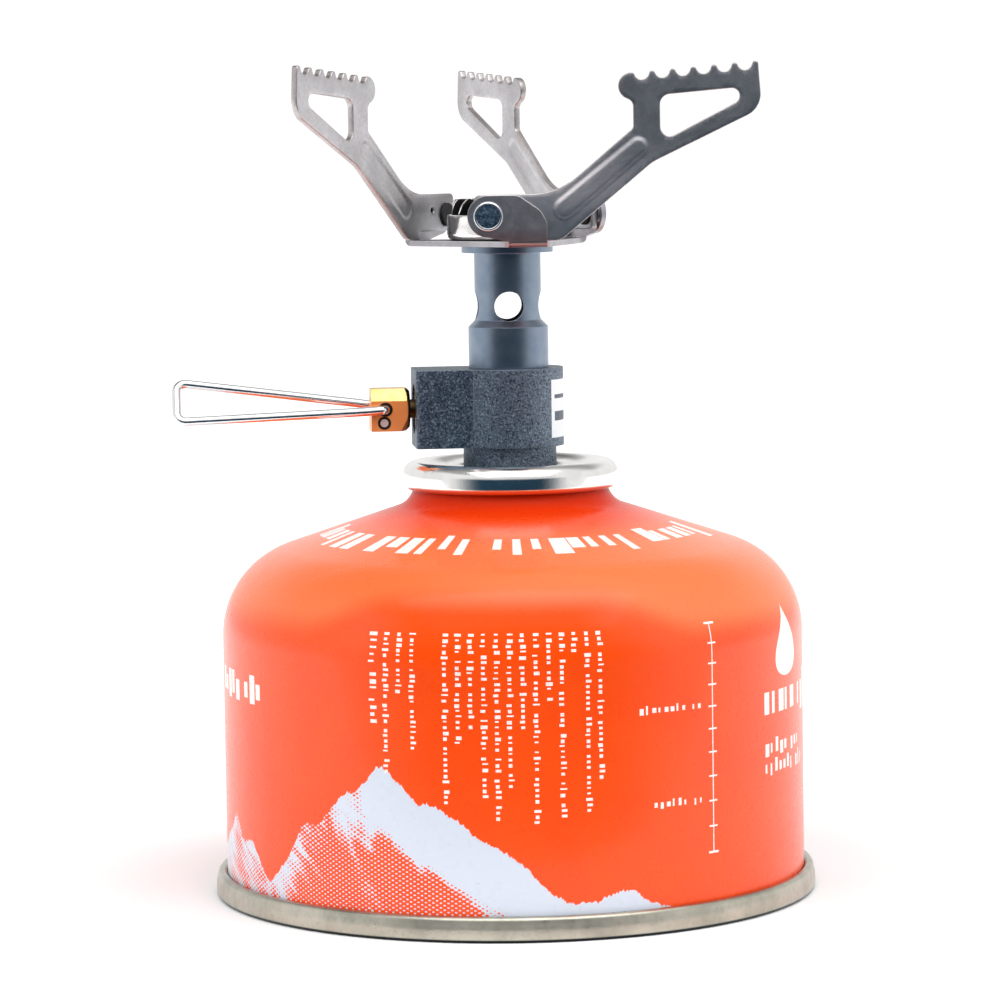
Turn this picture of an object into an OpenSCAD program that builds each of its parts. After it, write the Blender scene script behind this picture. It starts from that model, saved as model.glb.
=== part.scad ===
// Folding gas camping stove on a screw-on gas canister.
// +Z is up, the origin is the centre of the canister's bottom rim, and the valve handle points along -X.

/* [Gas canister] */
// Outer radius of the rolled bottom rim
rim_r = 45; // [44:0.5:48]
// Height of the rolled bottom rim
rim_h = 3.7; // [3:0.1:5]
// Outer radius of the can wall
wall_r = 43.35; // [43.2:0.05:43.6]
// Height where the straight wall meets the rounded shoulder
shoulder_z = 38.9; // [30:0.1:40]
// Radius of the rounded shoulder
shoulder_r = 13.8; // [13:0.1:17]
// Slope of the cone above the shoulder, in degrees
cone_slope = 18.5; // [14:0.5:20]
// Thickness of the can sheet
sheet_t = 0.5; // [0.4:0.05:0.6]

/* [Canister valve] */
// Outer radius of the rolled collar
collar_r = 16.15; // [16:0.05:16.5]
// Top of the rolled collar
collar_top = 64.45; // [64.2:0.05:65]
// Radius over the threads of the valve boss, 7/16 inch nominal
boss_r = 5.5; // [5.4:0.05:5.56]
// Top of the threaded boss
boss_top = 64; // [63.5:0.1:64.2]
// Pitch of the canister thread, 28 to the inch
thread_pitch = 0.907; // [0.9:0.001:0.91]

/* [Valve body] */
// Radius of the round barrel
barrel_r = 8.1; // [8:0.1:8.6]
// Underside of the barrel and block
body_bottom = 66.6; // [66.4:0.1:67]
// Top of the barrel and block
body_top = 78.2; // [78:0.1:78.6]
// Distance of the block's end face from the burner axis
block_len = 14.3; // [14:0.1:14.6]
// Half the width of the block
block_half = 5.65; // [5.4:0.05:6]
// Outer radius of the threaded socket below the barrel
socket_r = 6.95; // [6.8:0.05:7.2]
// Height of the valve spindle's axis
spindle_z = 72.3; // [72:0.1:72.6]

/* [Mixing tube] */
// Outer radius of the tube above the shoulder
tube_r = 4.95; // [4.9:0.05:5.2]
// Outer radius of the tube below the shoulder
tube_foot_r = 5.95; // [5.8:0.05:6.2]
// Radius of the air holes
air_hole_r = 2.2; // [1.8:0.1:2.4]
// Height of the air holes
air_hole_z = 87.4; // [87:0.1:88]
// Outer radius of the top flange
flange_r = 6.8; // [6.4:0.1:7.2]

/* [Burner] */
// Top face of the base plate
plate_z = 97.2; // [97:0.1:97.4]
// Thickness of the base plate
plate_t = 0.85; // [0.7:0.05:1]
// Radius of the burner cup
cup_r = 8.9; // [8.5:0.1:9]
// Height of the burner cup's rim
cup_rim_z = 101; // [100.5:0.1:101.5]
// Height of the burner crown
crown_top_z = 103.8; // [103:0.1:104]
// Number of flame slots
slot_count = 16; // [12:1:20]

/* [Pot supports] */
// Heading of the first support, in degrees from +X
support_heading = -6.6; // [-12:0.1:0]
// Distance from the burner axis to the inner face of a support
support_gap = 12; // [11.8:0.1:12.4]
// Thickness of a support
support_t = 1; // [0.8:0.05:1.1]
// Place of the pivot along the support, from the burner axis's foot
pivot_s = -2.4; // [-2.6:0.1:-2]
// Height of the pivot
pivot_z = 100.9; // [100.6:0.1:101]
// Highest tooth, which carries the pot
tooth_top_z = 122.9; // [122:0.1:124]
// Spacing of the teeth
tooth_pitch = 3; // [2.9:0.05:3.1]

/* [Valve handle] */
// Distance of the handle's cross hole from the burner axis
handle_hole_x = 18.7; // [18.4:0.1:19]
// Distance of the handle's far end from the burner axis
handle_end_x = 49.5; // [44:0.5:52]
// Diameter of the handle wire
wire_d = 1.36; // [1.2:0.02:1.4]

/* [Hidden] */
$fn = 64;

tiny = 0.01;            // overshoot of a cut past the face it opens
fit_gap = 0.05;         // radial clearance of a running fit
support_turns = [0, -120, 120];   // the three supports: front, left, rear

// Canister
curl_r = 2;                             // rounding of the rolled collar's top
lip_r = 1;                              // rounding of its outer lower edge
collar_bottom = 60.3;
lip_in = 14.95;                         // where the collar's lower edge ends
curl_c = [collar_r - curl_r, collar_top - curl_r];
bead_r = 1.45;                          // can bead held inside the collar
neck_r = collar_r - curl_r + 0.3;       // outer radius of the can's short neck
neck_fillet = 3.8;
chuck_r = 42.25;                        // inside of the bottom rim
dome_edge_z = 4.8;                      // where the base dome starts
dome_rise = 5;                          // how far the dome rises to its centre
well_r = 12.1;                          // inner radius of the valve well
well_z = 56.9;                          // floor of the valve well
cup_t = 0.45;                           // sheet of the valve cup

// Stove body
socket_bottom = well_z + cup_t + 0.4;
socket_top = boss_top + 1.2;            // roof of the threaded socket, above the seal
spigot_z = 74.2;                        // lower end of the mixing tube inside the valve body
shoulder_top = 85.3;                    // chamfered shoulder of the mixing tube
shoulder_bottom = 84.3;
recess_r = 3.75;                        // gland recess in the block's end face
recess_depth = 1.6;
chamber_r = 2.1;                        // spindle chamber in the block
o_ring_groove_r = 1.45;
cap_r = 6.7;                            // burner cap
cap_edge_z = crown_top_z - 1.4;         // underside of the cap's edge

// Supports
ear_gap = support_gap + support_t + 0.2;    // inner face of an ear
ear_t = 0.8;
ear_r = 3.05;
rivet_r = 1.4;
tooth_slope = 4.6;
tooth_count = 6;
crest_r = 0.45;                         // rounding of a tooth
valley_rise = 0.4;                      // height of a valley's centre above the crest centres
lobe_r = 1.96;
rib_h = 0.4;

// Handle and knob
knob_end_x = 20.8;
knob_face_x = 15.0;
knob_half_w = 3.0;
knob_half_h = 3.15;
handle_hole_z = spindle_z + 0.1;
leg_y = 3.9;                            // handle leg's centre beside the knob block

titanium = "#a9a5a6";
anodised = "#6d7f90";
blasted = "#4a5563";
brass = "#c98a3c";
steel = "#c8c8c8";
orange = "#ee4d1a";

// ---------- outline helpers ----------

function unit(v) = v / norm(v);
function turn(a) = a > 180 ? a - 360 : a < -180 ? a + 360 : a;
function xy(p) = [p[0], p[1]];

// Points on an arc about c, from angle a0 to angle a1
function arc(c, r, a0, a1, steps = 8) =
    [for (i = [0:steps]) let (a = a0 + (a1 - a0) * i / steps) c + r * [cos(a), sin(a)]];

// The arc that rounds corner b between a and c to radius b[2]
function round_corner(a, b, c, steps) =
    b[2] == 0 ? [xy(b)] :
    let (
        p = xy(b),
        u = unit(xy(a) - p),
        v = unit(xy(c) - p),
        half = acos(u * v) / 2,
        m = p + unit(u + v) * b[2] / sin(half),
        t0 = p + u * b[2] / tan(half) - m,
        t1 = p + v * b[2] / tan(half) - m,
        a0 = atan2(t0[1], t0[0]),
        sweep = turn(atan2(t1[1], t1[0]) - a0)
    ) arc(m, b[2], a0, a0 + sweep, steps);

// A closed outline of [x, y, radius] corners with its corners rounded
function rounded(pts, steps = 6) =
    let (n = len(pts))
    [for (i = [0:n - 1]) each round_corner(pts[(i + n - 1) % n], pts[i], pts[(i + 1) % n], steps)];

function sharp(pts) = [for (p = pts) [p[0], p[1], 0]];

// ---------- solid helpers ----------

module ring(r_in, r_out, z0, z1) {
    translate([0, 0, z0])
        difference() {
            cylinder(r = r_out, h = z1 - z0);
            translate([0, 0, -tiny]) cylinder(r = r_in, h = z1 - z0 + 2 * tiny);
        }
}

// A round bar of radius r swept along a path that is never vertical
module swept_bar(path, r, sides = 12) {
    n = len(path);
    points = [for (i = [0:n - 1])
        let (
            t = unit(path[min(i + 1, n - 1)] - path[max(i - 1, 0)]),
            e1 = unit(cross(t, [0, 0, 1])),
            e2 = cross(e1, t)
        )
        for (k = [0:sides - 1]) let (a = 360 * k / sides) path[i] + r * (e1 * cos(a) + e2 * sin(a))];
    walls = [for (i = [0:n - 2], k = [0:sides - 1]) let (k2 = (k + 1) % sides)
        each [
            [i * sides + k, (i + 1) * sides + k2, (i + 1) * sides + k],
            [i * sides + k, i * sides + k2, (i + 1) * sides + k2]
        ]];
    ends = [[for (k = [sides - 1:-1:0]) k], [for (k = [0:sides - 1]) (n - 1) * sides + k]];
    polyhedron(points, concat(walls, ends));
}

// A cylinder along +X from x0 to x1 on the spindle axis
module along_x(r, x0, x1) {
    translate([x0, 0, spindle_z]) rotate([0, 90, 0]) cylinder(r = r, h = x1 - x0);
}

// Puts a shape drawn in a support's plane (x along it, y up) upright, with z measured outwards
// from the burner axis, and turns it to support number i
module at_support(i, gap) {
    rotate([0, 0, support_heading + support_turns[i]])
        translate([0, -gap, 0])
            rotate([90, 0, 0])
                children();
}

// ---------- gas canister ----------

module can_base() {
    floor_edge = chuck_r + sheet_t;
    dome_r = (pow(chuck_r, 2) + pow(dome_rise, 2)) / (2 * dome_rise);
    dome_c = [0, dome_edge_z + dome_rise - dome_r];
    dome_a = asin(chuck_r / dome_r);
    outline = concat(
        [[floor_edge, 0]],
        arc([rim_r - 0.7, 0.7], 0.7, -90, 0, 4),
        arc([rim_r - 0.7, rim_h - 0.7], 0.7, 0, 90, 4),
        [[wall_r + 0.1, rim_h], [wall_r + 0.1, 0.95], [floor_edge, 0.95], [floor_edge, dome_edge_z]],
        arc(dome_c, dome_r + sheet_t, 90 - dome_a, 90, 14),
        arc(dome_c, dome_r, 90, 90 - dome_a, 14),
        [[chuck_r, 0.5]]
    );
    color("#d9cfc0") rotate_extrude($fn = 96) polygon(outline);
}

module can_shell() {
    knuckle_c = [wall_r - shoulder_r, shoulder_z];
    cone_a = 90 - cone_slope;
    cone_start = knuckle_c + shoulder_r * [cos(cone_a), sin(cone_a)];
    neck_corner_z = cone_start[1] + (cone_start[0] - neck_r) * tan(cone_slope);
    fillet_cut = neck_fillet * tan(cone_a / 2);
    fillet_c = [neck_r + neck_fillet, neck_corner_z + fillet_cut];
    outline = concat(
        [[wall_r - sheet_t, 1.1], [wall_r, 1.1]],
        arc(knuckle_c, shoulder_r, 0, cone_a, 16),
        arc(fillet_c, neck_fillet, 180 + cone_a, 180, 6),
        arc(curl_c, bead_r, -70, 200, 16),
        arc(fillet_c, neck_fillet + sheet_t, 180, 180 + cone_a, 6),
        arc(knuckle_c, shoulder_r - sheet_t, cone_a, 0, 16)
    );
    color(orange) rotate_extrude($fn = 96) polygon(outline);
}

// The crimped valve cup: rolled collar, well, and the threaded boss in its middle
module valve_cup() {
    boss_in = boss_r - 0.7;
    floor_z = well_z + cup_t;
    threads = floor((boss_top - floor_z - 1.2) / thread_pitch);
    lip_c = [collar_r - lip_r, collar_bottom + lip_r];
    outline = concat(
        [[boss_in, boss_top - 1], [1.9, boss_top - 1], [1.9, boss_top], [boss_r - 0.4, boss_top]],
        [for (i = [0:threads - 1]) let (z = boss_top - 0.4 - i * thread_pitch)
            each [[boss_r, z - 0.1], [boss_r, z - 0.25], [boss_r - 0.35, z - 0.5]]],
        [[boss_r - 0.35, floor_z], [well_r - 0.6, floor_z], [well_r, floor_z + 0.6]],
        arc(curl_c, curl_r, 180, 0, 16),
        arc(lip_c, lip_r, 0, -90, 6),
        [[lip_in, collar_bottom], [lip_in, collar_bottom + cup_t]],
        arc(lip_c, lip_r - cup_t, -90, 0, 6),
        arc(curl_c, curl_r - cup_t, 0, 180, 16),
        [[well_r + cup_t, well_z + 0.6], [well_r - 0.2, well_z], [boss_in, well_z]]
    );
    color(steel) rotate_extrude($fn = 96) polygon(outline);
}

module can_valve_housing() {
    color("#e8e4d8") {
        ring(2.6, boss_r - 0.75, boss_top - 7, boss_top - 2.4);
        ring(2.6, 3.6, boss_top - 13, boss_top - 7);
        ring(0.6, 3.6, boss_top - 14, boss_top - 13);
    }
}

module can_valve_gasket() {
    color("#2b2b2b") ring(1.55, boss_r - 0.75, boss_top - 2.35, boss_top - 1.05);
}

// Closed by the stem: a coil between the housing's floor and the stem's flange
module can_valve_spring() {
    coil_r = 1.9;
    bar_r = 0.25;
    turns = 5;
    steps_per_turn = 16;
    z0 = boss_top - 12.6;
    z1 = boss_top - 6.4 - bar_r - 0.03;
    coil = [for (i = [0:turns * steps_per_turn])
        let (a = 360 * i / steps_per_turn)
        [coil_r * cos(a), coil_r * sin(a), z0 + (z1 - z0) * i / (turns * steps_per_turn)]];
    color(steel) swept_bar(coil, bar_r, 8);
}

// The stem is held down and open by the stove's pin
module can_valve_stem() {
    color("#dcd8cc")
        difference() {
            union() {
                ring(0.5, 1.45, boss_top - 6, boss_top - 1.4);
                translate([0, 0, boss_top - 6.4]) cylinder(r = 2.4, h = 0.9);
            }
            translate([0, 0, boss_top - 4.6]) rotate([90, 0, 0]) cylinder(r = 0.35, h = 6, center = true);
        }
}

// ---------- stove body ----------

// Rubber ring between the socket's roof and the top of the boss
module socket_seal() {
    color("#202020") ring(2.2, boss_r - 0.3, boss_top + tiny, socket_top - tiny);
}

module valve_body() {
    chamfer = 0.6;
    block = [
        [-block_len, -block_half, chamfer], [0, -block_half, 0],
        [0, block_half, 0], [-block_len, block_half, chamfer]
    ];
    color(blasted)
        difference() {
            union() {
                translate([0, 0, body_bottom]) cylinder(r = barrel_r, h = body_top - body_bottom);
                translate([0, 0, body_bottom])
                    linear_extrude(body_top - body_bottom) polygon(rounded(block, 4));
                translate([0, 0, socket_bottom]) cylinder(r = socket_r, h = body_bottom - socket_bottom + 1);
            }
            translate([0, 0, socket_bottom - tiny])
                cylinder(r = boss_r + fit_gap, h = socket_top - socket_bottom + tiny);
            // gas way up from the socket to the needle seat, and on to the jet
            translate([0, 0, socket_top - 1]) cylinder(r = 1.7, h = 4.2);
            translate([0, 0, spindle_z]) cylinder(r = 0.6, h = 10);
            translate([0, 0, spigot_z]) cylinder(r = tube_r + 0.02, h = 10);
            translate([-6.2, 0, socket_top + 2.4]) rotate([0, 90, 0]) cylinder(r = 0.7, h = 6.2, $fn = 24);
            translate([-6.2, 0, socket_top + 2.4]) cylinder(r = 0.7, h = 3.4, $fn = 24);
            // spindle chamber, gland thread and gland recess, from the inside out
            along_x(0.6, -3.2, 0.2);
            along_x(chamber_r, -9.7, -3.1);
            along_x(2.85, -block_len - 1, -9.6);
            along_x(recess_r, -block_len - 1, -block_len + recess_depth);
        }
}

module actuator_pin() {
    color(brass)
        difference() {
            union() {
                ring(0.4, 1.2, boss_top - 1.4 + tiny, socket_top + 1);
                ring(0.4, 1.69, socket_top + tiny, socket_top + 1);
            }
            translate([0, 0, boss_top - 1]) rotate([90, 0, 0]) cylinder(r = 0.3, h = 4, center = true, $fn = 24);
        }
}

module gas_filter() {
    color("#8a6b45") translate([0, 0, socket_top + 1.05]) cylinder(r = 1.65, h = 1);
}

module jet() {
    hex_r = 2.7;
    color(brass)
        difference() {
            union() {
                translate([0, 0, spigot_z + 0.02]) cylinder(r = hex_r, h = 1.8, $fn = 6);
                translate([0, 0, spigot_z + 1]) cylinder(r = 1.6, h = 7);
                translate([0, 0, spigot_z + 8]) cylinder(r1 = 1.6, r2 = 0.8, h = 0.9);
            }
            translate([0, 0, spigot_z - 1]) cylinder(r = 0.6, h = 8);
            translate([0, 0, spigot_z]) cylinder(r = 0.15, h = 12, $fn = 16);
        }
}

module gland_nut() {
    color(brass)
        difference() {
            union() {
                along_x(2.8, -block_len + 1, -9.65);
                along_x(3.3, -block_len + 0.3, -block_len + recess_depth - 0.01);
            }
            along_x(1.4 + fit_gap, -block_len - 1, -9);
            for (side = [-1, 1])
                translate([-block_len - 1, side * 2.3 - 0.4, spindle_z - 4]) cube([2, 0.8, 8]);
        }
}

module mixing_tube() {
    bore_r = tube_r - 0.85;
    top = plate_z - plate_t - tiny;
    outline = [
        [bore_r, spigot_z + tiny], [tube_r, spigot_z + tiny], [tube_r, body_top + tiny],
        [tube_foot_r, body_top + tiny], [tube_foot_r, shoulder_bottom], [tube_r, shoulder_top],
        [tube_r, top - 1.15], [tube_r + 0.15, top - 1], [flange_r, top - 1], [flange_r, top], [bore_r, top]
    ];
    color(anodised)
        difference() {
            rotate_extrude() polygon(outline);
            for (a = [0, 90])
                translate([0, 0, air_hole_z])
                    rotate([90, 0, a - 3.1]) cylinder(r = air_hole_r, h = 4 * tube_r, center = true);
        }
}

// ---------- burner ----------

// Where an ear's bend starts and ends along the support
bend_s0 = 0.5;
bend_s1 = 6.15;

// One short edge of the plate, under an ear, as seen from above
function plate_edge(i) =
    let (a = support_heading + support_turns[i], u = [cos(a), sin(a)], n = [sin(a), -cos(a)], d = ear_gap + 0.05)
    [bend_s0 * u + d * n, bend_s1 * u + d * n];

// The ear's face, in the support's plane
module ear_face() {
    difference() {
        union() {
            translate([pivot_s, pivot_z]) circle(r = ear_r);
            polygon(rounded([
                [pivot_s, pivot_z + ear_r, 0], [2, pivot_z + ear_r, 2.4], [5.2, 101.7, 2.2],
                [bend_s1, 100, 2], [bend_s1, plate_z, 0], [bend_s0, plate_z, 0],
                [pivot_s, pivot_z - ear_r, 0]
            ]));
        }
        translate([pivot_s, pivot_z]) circle(r = rivet_r);
    }
}

// The quarter-round bend between plate and ear
module ear_bend() {
    section = concat(
        [[0, plate_z + tiny], [0, plate_z - plate_t]],
        arc([0, plate_z], ear_t, -90, 0, 6),
        [[ear_t, plate_z + tiny]]
    );
    translate([bend_s0, 0, 0])
        rotate([90, 0, 90])
            linear_extrude(bend_s1 - bend_s0)
                mirror([1, 0]) polygon(section);
}

module base_plate() {
    hole_r = 4.2;
    edges = [for (i = [1, 0, 2]) each plate_edge(i)];
    color(titanium)
        difference() {
            union() {
                translate([0, 0, plate_z - plate_t]) linear_extrude(plate_t) polygon(edges);
                for (i = [0:2]) {
                    at_support(i, ear_gap) linear_extrude(ear_t) ear_face();
                    rotate([0, 0, support_heading + support_turns[i]]) translate([0, -ear_gap, 0]) ear_bend();
                }
            }
            translate([0, 0, plate_z - 5]) cylinder(r = hole_r, h = 6);
        }
}

// Pressed steel cup with the spigot that holds it in the mixing tube
module burner_cup() {
    spigot_r = 4.08;
    sheet = 0.4;
    outline = concat(
        [[spigot_r - sheet, plate_z - 6], [spigot_r, plate_z - 6], [spigot_r, plate_z + tiny]],
        arc([cup_r - 0.8, plate_z + tiny + 0.8], 0.8, -90, 0, 5),
        arc([cup_r - 0.2, cup_rim_z - 0.2], 0.2, 0, 90, 3),
        [[cup_r - sheet, cup_rim_z], [cup_r - sheet, plate_z + 1.2], [cup_r - 1.2, plate_z + sheet]],
        [[spigot_r - sheet, plate_z + sheet]]
    );
    color(steel) rotate_extrude() polygon(outline);
}

// Slotted flame ring: slanting fins on a hub
module burner_crown() {
    hub_r = 6.3;
    hub_in = 5.8;
    fin_out = cup_r - 0.6;
    fin_t = 0.45;
    fin_tilt = 34;
    floor_z = plate_z + 0.5;
    seat_z = cap_edge_z - 0.1;
    fin_top_z = crown_top_z - 0.5;
    room = [
        [hub_in, floor_z], [fin_out - 0.8, floor_z], [fin_out, floor_z + 1], [fin_out, fin_top_z],
        [cap_r + 0.1, fin_top_z], [cap_r + 0.1, seat_z], [hub_in, seat_z]
    ];
    color("#8f8a86")
        intersection() {
            rotate_extrude() polygon(room);
            union() {
                ring(hub_in, hub_r, floor_z, seat_z);
                for (i = [0:slot_count - 1])
                    rotate([0, 0, i * 360 / slot_count])
                        translate([hub_r - 0.2, 0, (floor_z + crown_top_z) / 2])
                            rotate([fin_tilt, 0, 0])
                                translate([0, -fin_t / 2, -5]) cube([3, fin_t, 10]);
            }
        }
}

// Domed cap that closes the middle of the crown
module burner_cap() {
    sphere_r = 24;
    skirt_r = 5.75;
    skirt_in = 5.2;
    skirt_z = plate_z + 3;
    dome_a = asin(cap_r / sphere_r);
    c = [0, crown_top_z - sphere_r];
    outline = concat(
        arc(c, sphere_r, 90, 90 - dome_a, 6),
        [[cap_r, cap_edge_z], [skirt_r, cap_edge_z], [skirt_r, skirt_z], [skirt_in, skirt_z]],
        [[skirt_in, crown_top_z - 1.6], [0, crown_top_z - 1.0]]
    );
    color(steel) rotate_extrude() polygon(outline);
}

module rivet(i) {
    head_r = 2.2;
    inner_head_r = 1.75;
    color("#59616b")
        at_support(i, 0)
            translate([pivot_s, pivot_z, 0]) {
                translate([0, 0, ear_gap + ear_t]) cylinder(r = head_r, h = 0.45);
                translate([0, 0, support_gap - 0.1]) cylinder(r = rivet_r, h = ear_gap + ear_t - support_gap + 0.1);
                translate([0, 0, support_gap - 0.4]) cylinder(r = inner_head_r, h = 0.35);
            }
}

module washer(i) {
    color(steel)
        at_support(i, 0)
            translate([pivot_s, pivot_z, 0])
                difference() {
                    translate([0, 0, support_gap + support_t + 0.04]) cylinder(r = 2.4, h = 0.15);
                    cylinder(r = rivet_r, h = 30);
                }
}

// ---------- pot supports ----------

tooth_u = [cos(tooth_slope), sin(tooth_slope)];
tooth_n = [-sin(tooth_slope), cos(tooth_slope)];
tip_s = 36.55;
tip_crest = [tip_s, tooth_top_z] - crest_r * tooth_n;       // centre of the outermost tooth's rounding
valley_r = norm([tooth_pitch / 2, valley_rise]) - crest_r;
tooth_a = atan2(valley_rise, tooth_pitch / 2);

// Centre of tooth k's rounding, where k = 0 is the tip and k counts inwards
function crest_c(k) = tip_crest - k * tooth_pitch * tooth_u;
function valley_c(k) = crest_c(k) - tooth_pitch / 2 * tooth_u + valley_rise * tooth_n;

// The toothed edge from the inner lobe out to the tip
toothed_edge = concat(
    arc(crest_c(tooth_count), crest_r, 90, tooth_a + tooth_slope, 3),
    [for (k = [tooth_count - 1:-1:0]) each concat(
        arc(valley_c(k), valley_r, 180 + tooth_a + tooth_slope, 360 - tooth_a + tooth_slope, 8),
        k > 0 ? arc(crest_c(k), crest_r, 180 - tooth_a + tooth_slope, tooth_a + tooth_slope, 5) :
            arc(crest_c(0), crest_r, 180 - tooth_a + tooth_slope, 0, 5)
    )]
);

lobe_c = [crest_c(tooth_count)[0], crest_c(tooth_count)[1] + crest_r - lobe_r];
neck_s = 18.8;
neck_fillet_r = 1.2;
neck_fillet_c = [
    neck_s - neck_fillet_r,
    lobe_c[1] - sqrt(pow(lobe_r + neck_fillet_r, 2) - pow(lobe_c[0] - neck_s + neck_fillet_r, 2))
];
lobe_a = atan2(neck_fillet_c[1] - lobe_c[1], neck_fillet_c[0] - lobe_c[0]);

support_outline = rounded(concat(
    [[-4.5, 98.5, 0.6], [-4.5, 104.05, 0.9], [7.7, 104.05, 11], [neck_s, 113.45, 0.8]],
    sharp(arc(neck_fillet_c, neck_fillet_r, 0, 180 + lobe_a, 5)),
    sharp(arc(lobe_c, lobe_r, 360 + lobe_a, 90, 12)),
    sharp(toothed_edge),
    [[37.5, 116, 3.4], [21.6, 108.45, 7], [8.1, 97.28, 2.4], [5.05, 97.28, 0.2], [5.05, 98.5, 0.2]]
), 8);

window_outline = rounded([[22.75, 118.12, 1.5], [38.6, 119.4, 1.1], [22.75, 111.3, 1.4]]);

// The stiffening rib: a slot shape from the root circle to the outer circle, grown by g
module rib_face(g) {
    hull() {
        translate([8.7, 101.9]) circle(r = 1.6 + g, $fn = 32);
        translate([19.5, 110.7]) circle(r = 1.45 + g, $fn = 32);
    }
}

module pot_support(i) {
    color(i == 0 ? "#575b66" : titanium)
        at_support(i, support_gap)
            difference() {
                union() {
                    linear_extrude(support_t) polygon(support_outline);
                    linear_extrude(support_t + rib_h) rib_face(0);
                }
                translate([0, 0, -1]) linear_extrude(3) polygon(window_outline);
                translate([0, 0, -1]) linear_extrude(1 + rib_h) rib_face(-0.35);
                translate([pivot_s, pivot_z, -1]) cylinder(r = rivet_r + fit_gap, h = 3);
                translate([1.6, 101.6, -1]) cylinder(r = 0.45, h = 3, $fn = 24);
            }
}

// ---------- valve spindle and handle ----------

// Needle valve spindle: shaft, two guide collars with the O-ring groove between them, and needle
module spindle() {
    shaft_r = 1.4;
    collar = chamber_r - fit_gap;
    color(brass) {
        along_x(shaft_r, -knob_face_x - 2.8, -7.8);
        along_x(collar, -7.9, -6.9);
        along_x(o_ring_groove_r, -7, -6);
        along_x(collar, -6.1, -5.1);
        along_x(1, -5.2, -4.3);
        translate([-4.3, 0, spindle_z]) rotate([0, 90, 0]) cylinder(r1 = 1, r2 = 0.2, h = 1.9);
    }
}

module spindle_o_ring() {
    section_r = 0.3;
    color("#202020")
        translate([-6.5, 0, spindle_z])
            rotate([0, 90, 0])
                rotate_extrude() translate([o_ring_groove_r + section_r + 0.02, 0]) circle(r = section_r, $fn = 24);
}

// Brass block with bevelled upper edges and a turned bevel towards the valve body
module knob_block() {
    bevel_y = 1.2;
    bevel_z = 1.8;
    length = knob_end_x - knob_face_x;
    w = knob_half_w;
    h = knob_half_h;
    section = [[-w, -h], [w, -h], [w, h - bevel_z], [w - bevel_y, h], [-w + bevel_y, h], [-w, h - bevel_z]];
    cone_r = 3.0;
    color(brass)
        difference() {
            intersection() {
                translate([-knob_end_x, 0, spindle_z])
                    rotate([90, 0, 90]) linear_extrude(length) polygon(section);
                union() {
                    along_x(6, -knob_end_x - 1, -knob_face_x - 1.5);
                    translate([-knob_face_x - 1.5, 0, spindle_z])
                        rotate([0, 90, 0]) cylinder(r1 = cone_r + 1.35, r2 = cone_r - 0.3, h = 1.5 + tiny);
                }
            }
            along_x(1.4, -knob_face_x - 2.8, -knob_face_x + 1);
            translate([-handle_hole_x, 0, handle_hole_z])
                rotate([90, 0, 0]) cylinder(r = wire_d / 2 + fit_gap, h = 10, center = true);
            for (side = [-1, 1])
                translate([-handle_hole_x, side * knob_half_w, handle_hole_z])
                    rotate([side * 90, 0, 0])
                        translate([0, 0, -0.3]) cylinder(r1 = wire_d / 2 + fit_gap, r2 = 1.1, h = 0.32);
            translate([-handle_hole_x - 0.2, 0, spindle_z - 1.9])
                rotate([90, 0, 0]) cylinder(r = 0.6, h = 10, center = true);
            for (side = [-1, 1])
                translate([-handle_hole_x - 0.2, side * (knob_half_w + 0.02), spindle_z - 1.9])
                    rotate([90, 0, 0]) cylinder(r = 0.88, h = 0.5, center = true);
        }
}

module knob_pin() {
    color(steel)
        translate([-handle_hole_x - 0.2, 0, spindle_z - 1.9])
            rotate([90, 0, 0]) cylinder(r = 0.6, h = 2 * knob_half_w - 0.1, center = true);
}

// The arc of radius r that rounds corner b between a and c in space
function bend(a, b, c, r, steps = 6) =
    let (
        u = unit(a - b),
        v = unit(c - b),
        half = acos(u * v) / 2,
        m = b + unit(u + v) * r / sin(half),
        e1 = unit(b + u * r / tan(half) - m),
        w = b + v * r / tan(half) - m,
        e2 = unit(w - e1 * (w * e1))
    ) [for (i = [0:steps]) let (t = (180 - 2 * half) * i / steps) m + r * (e1 * cos(t) + e2 * sin(t))];

// Corners of the handle's path and the radius of each bend, from one hooked end to the other
hook_y = knob_half_w + 0.1;
handle_corners = [
    [[-handle_hole_x, -hook_y, handle_hole_z], 0],
    [[-handle_hole_x, -leg_y, handle_hole_z], 0.75],
    [[-22.2, -leg_y, handle_hole_z - 0.2], 10],
    [[-handle_end_x, -1.75, spindle_z - 1.2], 1.5],
    [[-handle_end_x, 1.75, spindle_z + 4.4], 1.5],
    [[-22.2, leg_y, handle_hole_z + 0.6], 10],
    [[-handle_hole_x, leg_y, handle_hole_z], 0.75],
    [[-handle_hole_x, hook_y, handle_hole_z], 0]
];
last_corner = len(handle_corners) - 1;
handle_path = concat(
    [handle_corners[0][0]],
    [for (i = [1:last_corner - 1])
        each bend(handle_corners[i - 1][0], handle_corners[i][0], handle_corners[i + 1][0], handle_corners[i][1])],
    [handle_corners[last_corner][0]]
);

module wire_handle() {
    color("#e2e2e2") {
        swept_bar(handle_path, wire_d / 2 - tiny);
        for (side = [-1, 1])
            translate([-handle_hole_x, side * 1.3, handle_hole_z])
                rotate([side * -90, 0, 0]) cylinder(r = wire_d / 2, h = knob_half_w - 1.2);
    }
}

can_base();
can_shell();
valve_cup();
can_valve_housing();
can_valve_gasket();
can_valve_spring();
can_valve_stem();
socket_seal();
valve_body();
actuator_pin();
gas_filter();
jet();
gland_nut();
mixing_tube();
base_plate();
burner_cup();
burner_crown();
burner_cap();
rivet(0);  // rivet_front
rivet(1);  // rivet_left
rivet(2);  // rivet_rear
washer(0);  // washer_front
washer(1);  // washer_left
washer(2);  // washer_rear
pot_support(0);  // pot_support_front
pot_support(1);  // pot_support_left
pot_support(2);  // pot_support_rear
spindle();
spindle_o_ring();
knob_block();
knob_pin();
wire_handle();
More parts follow.
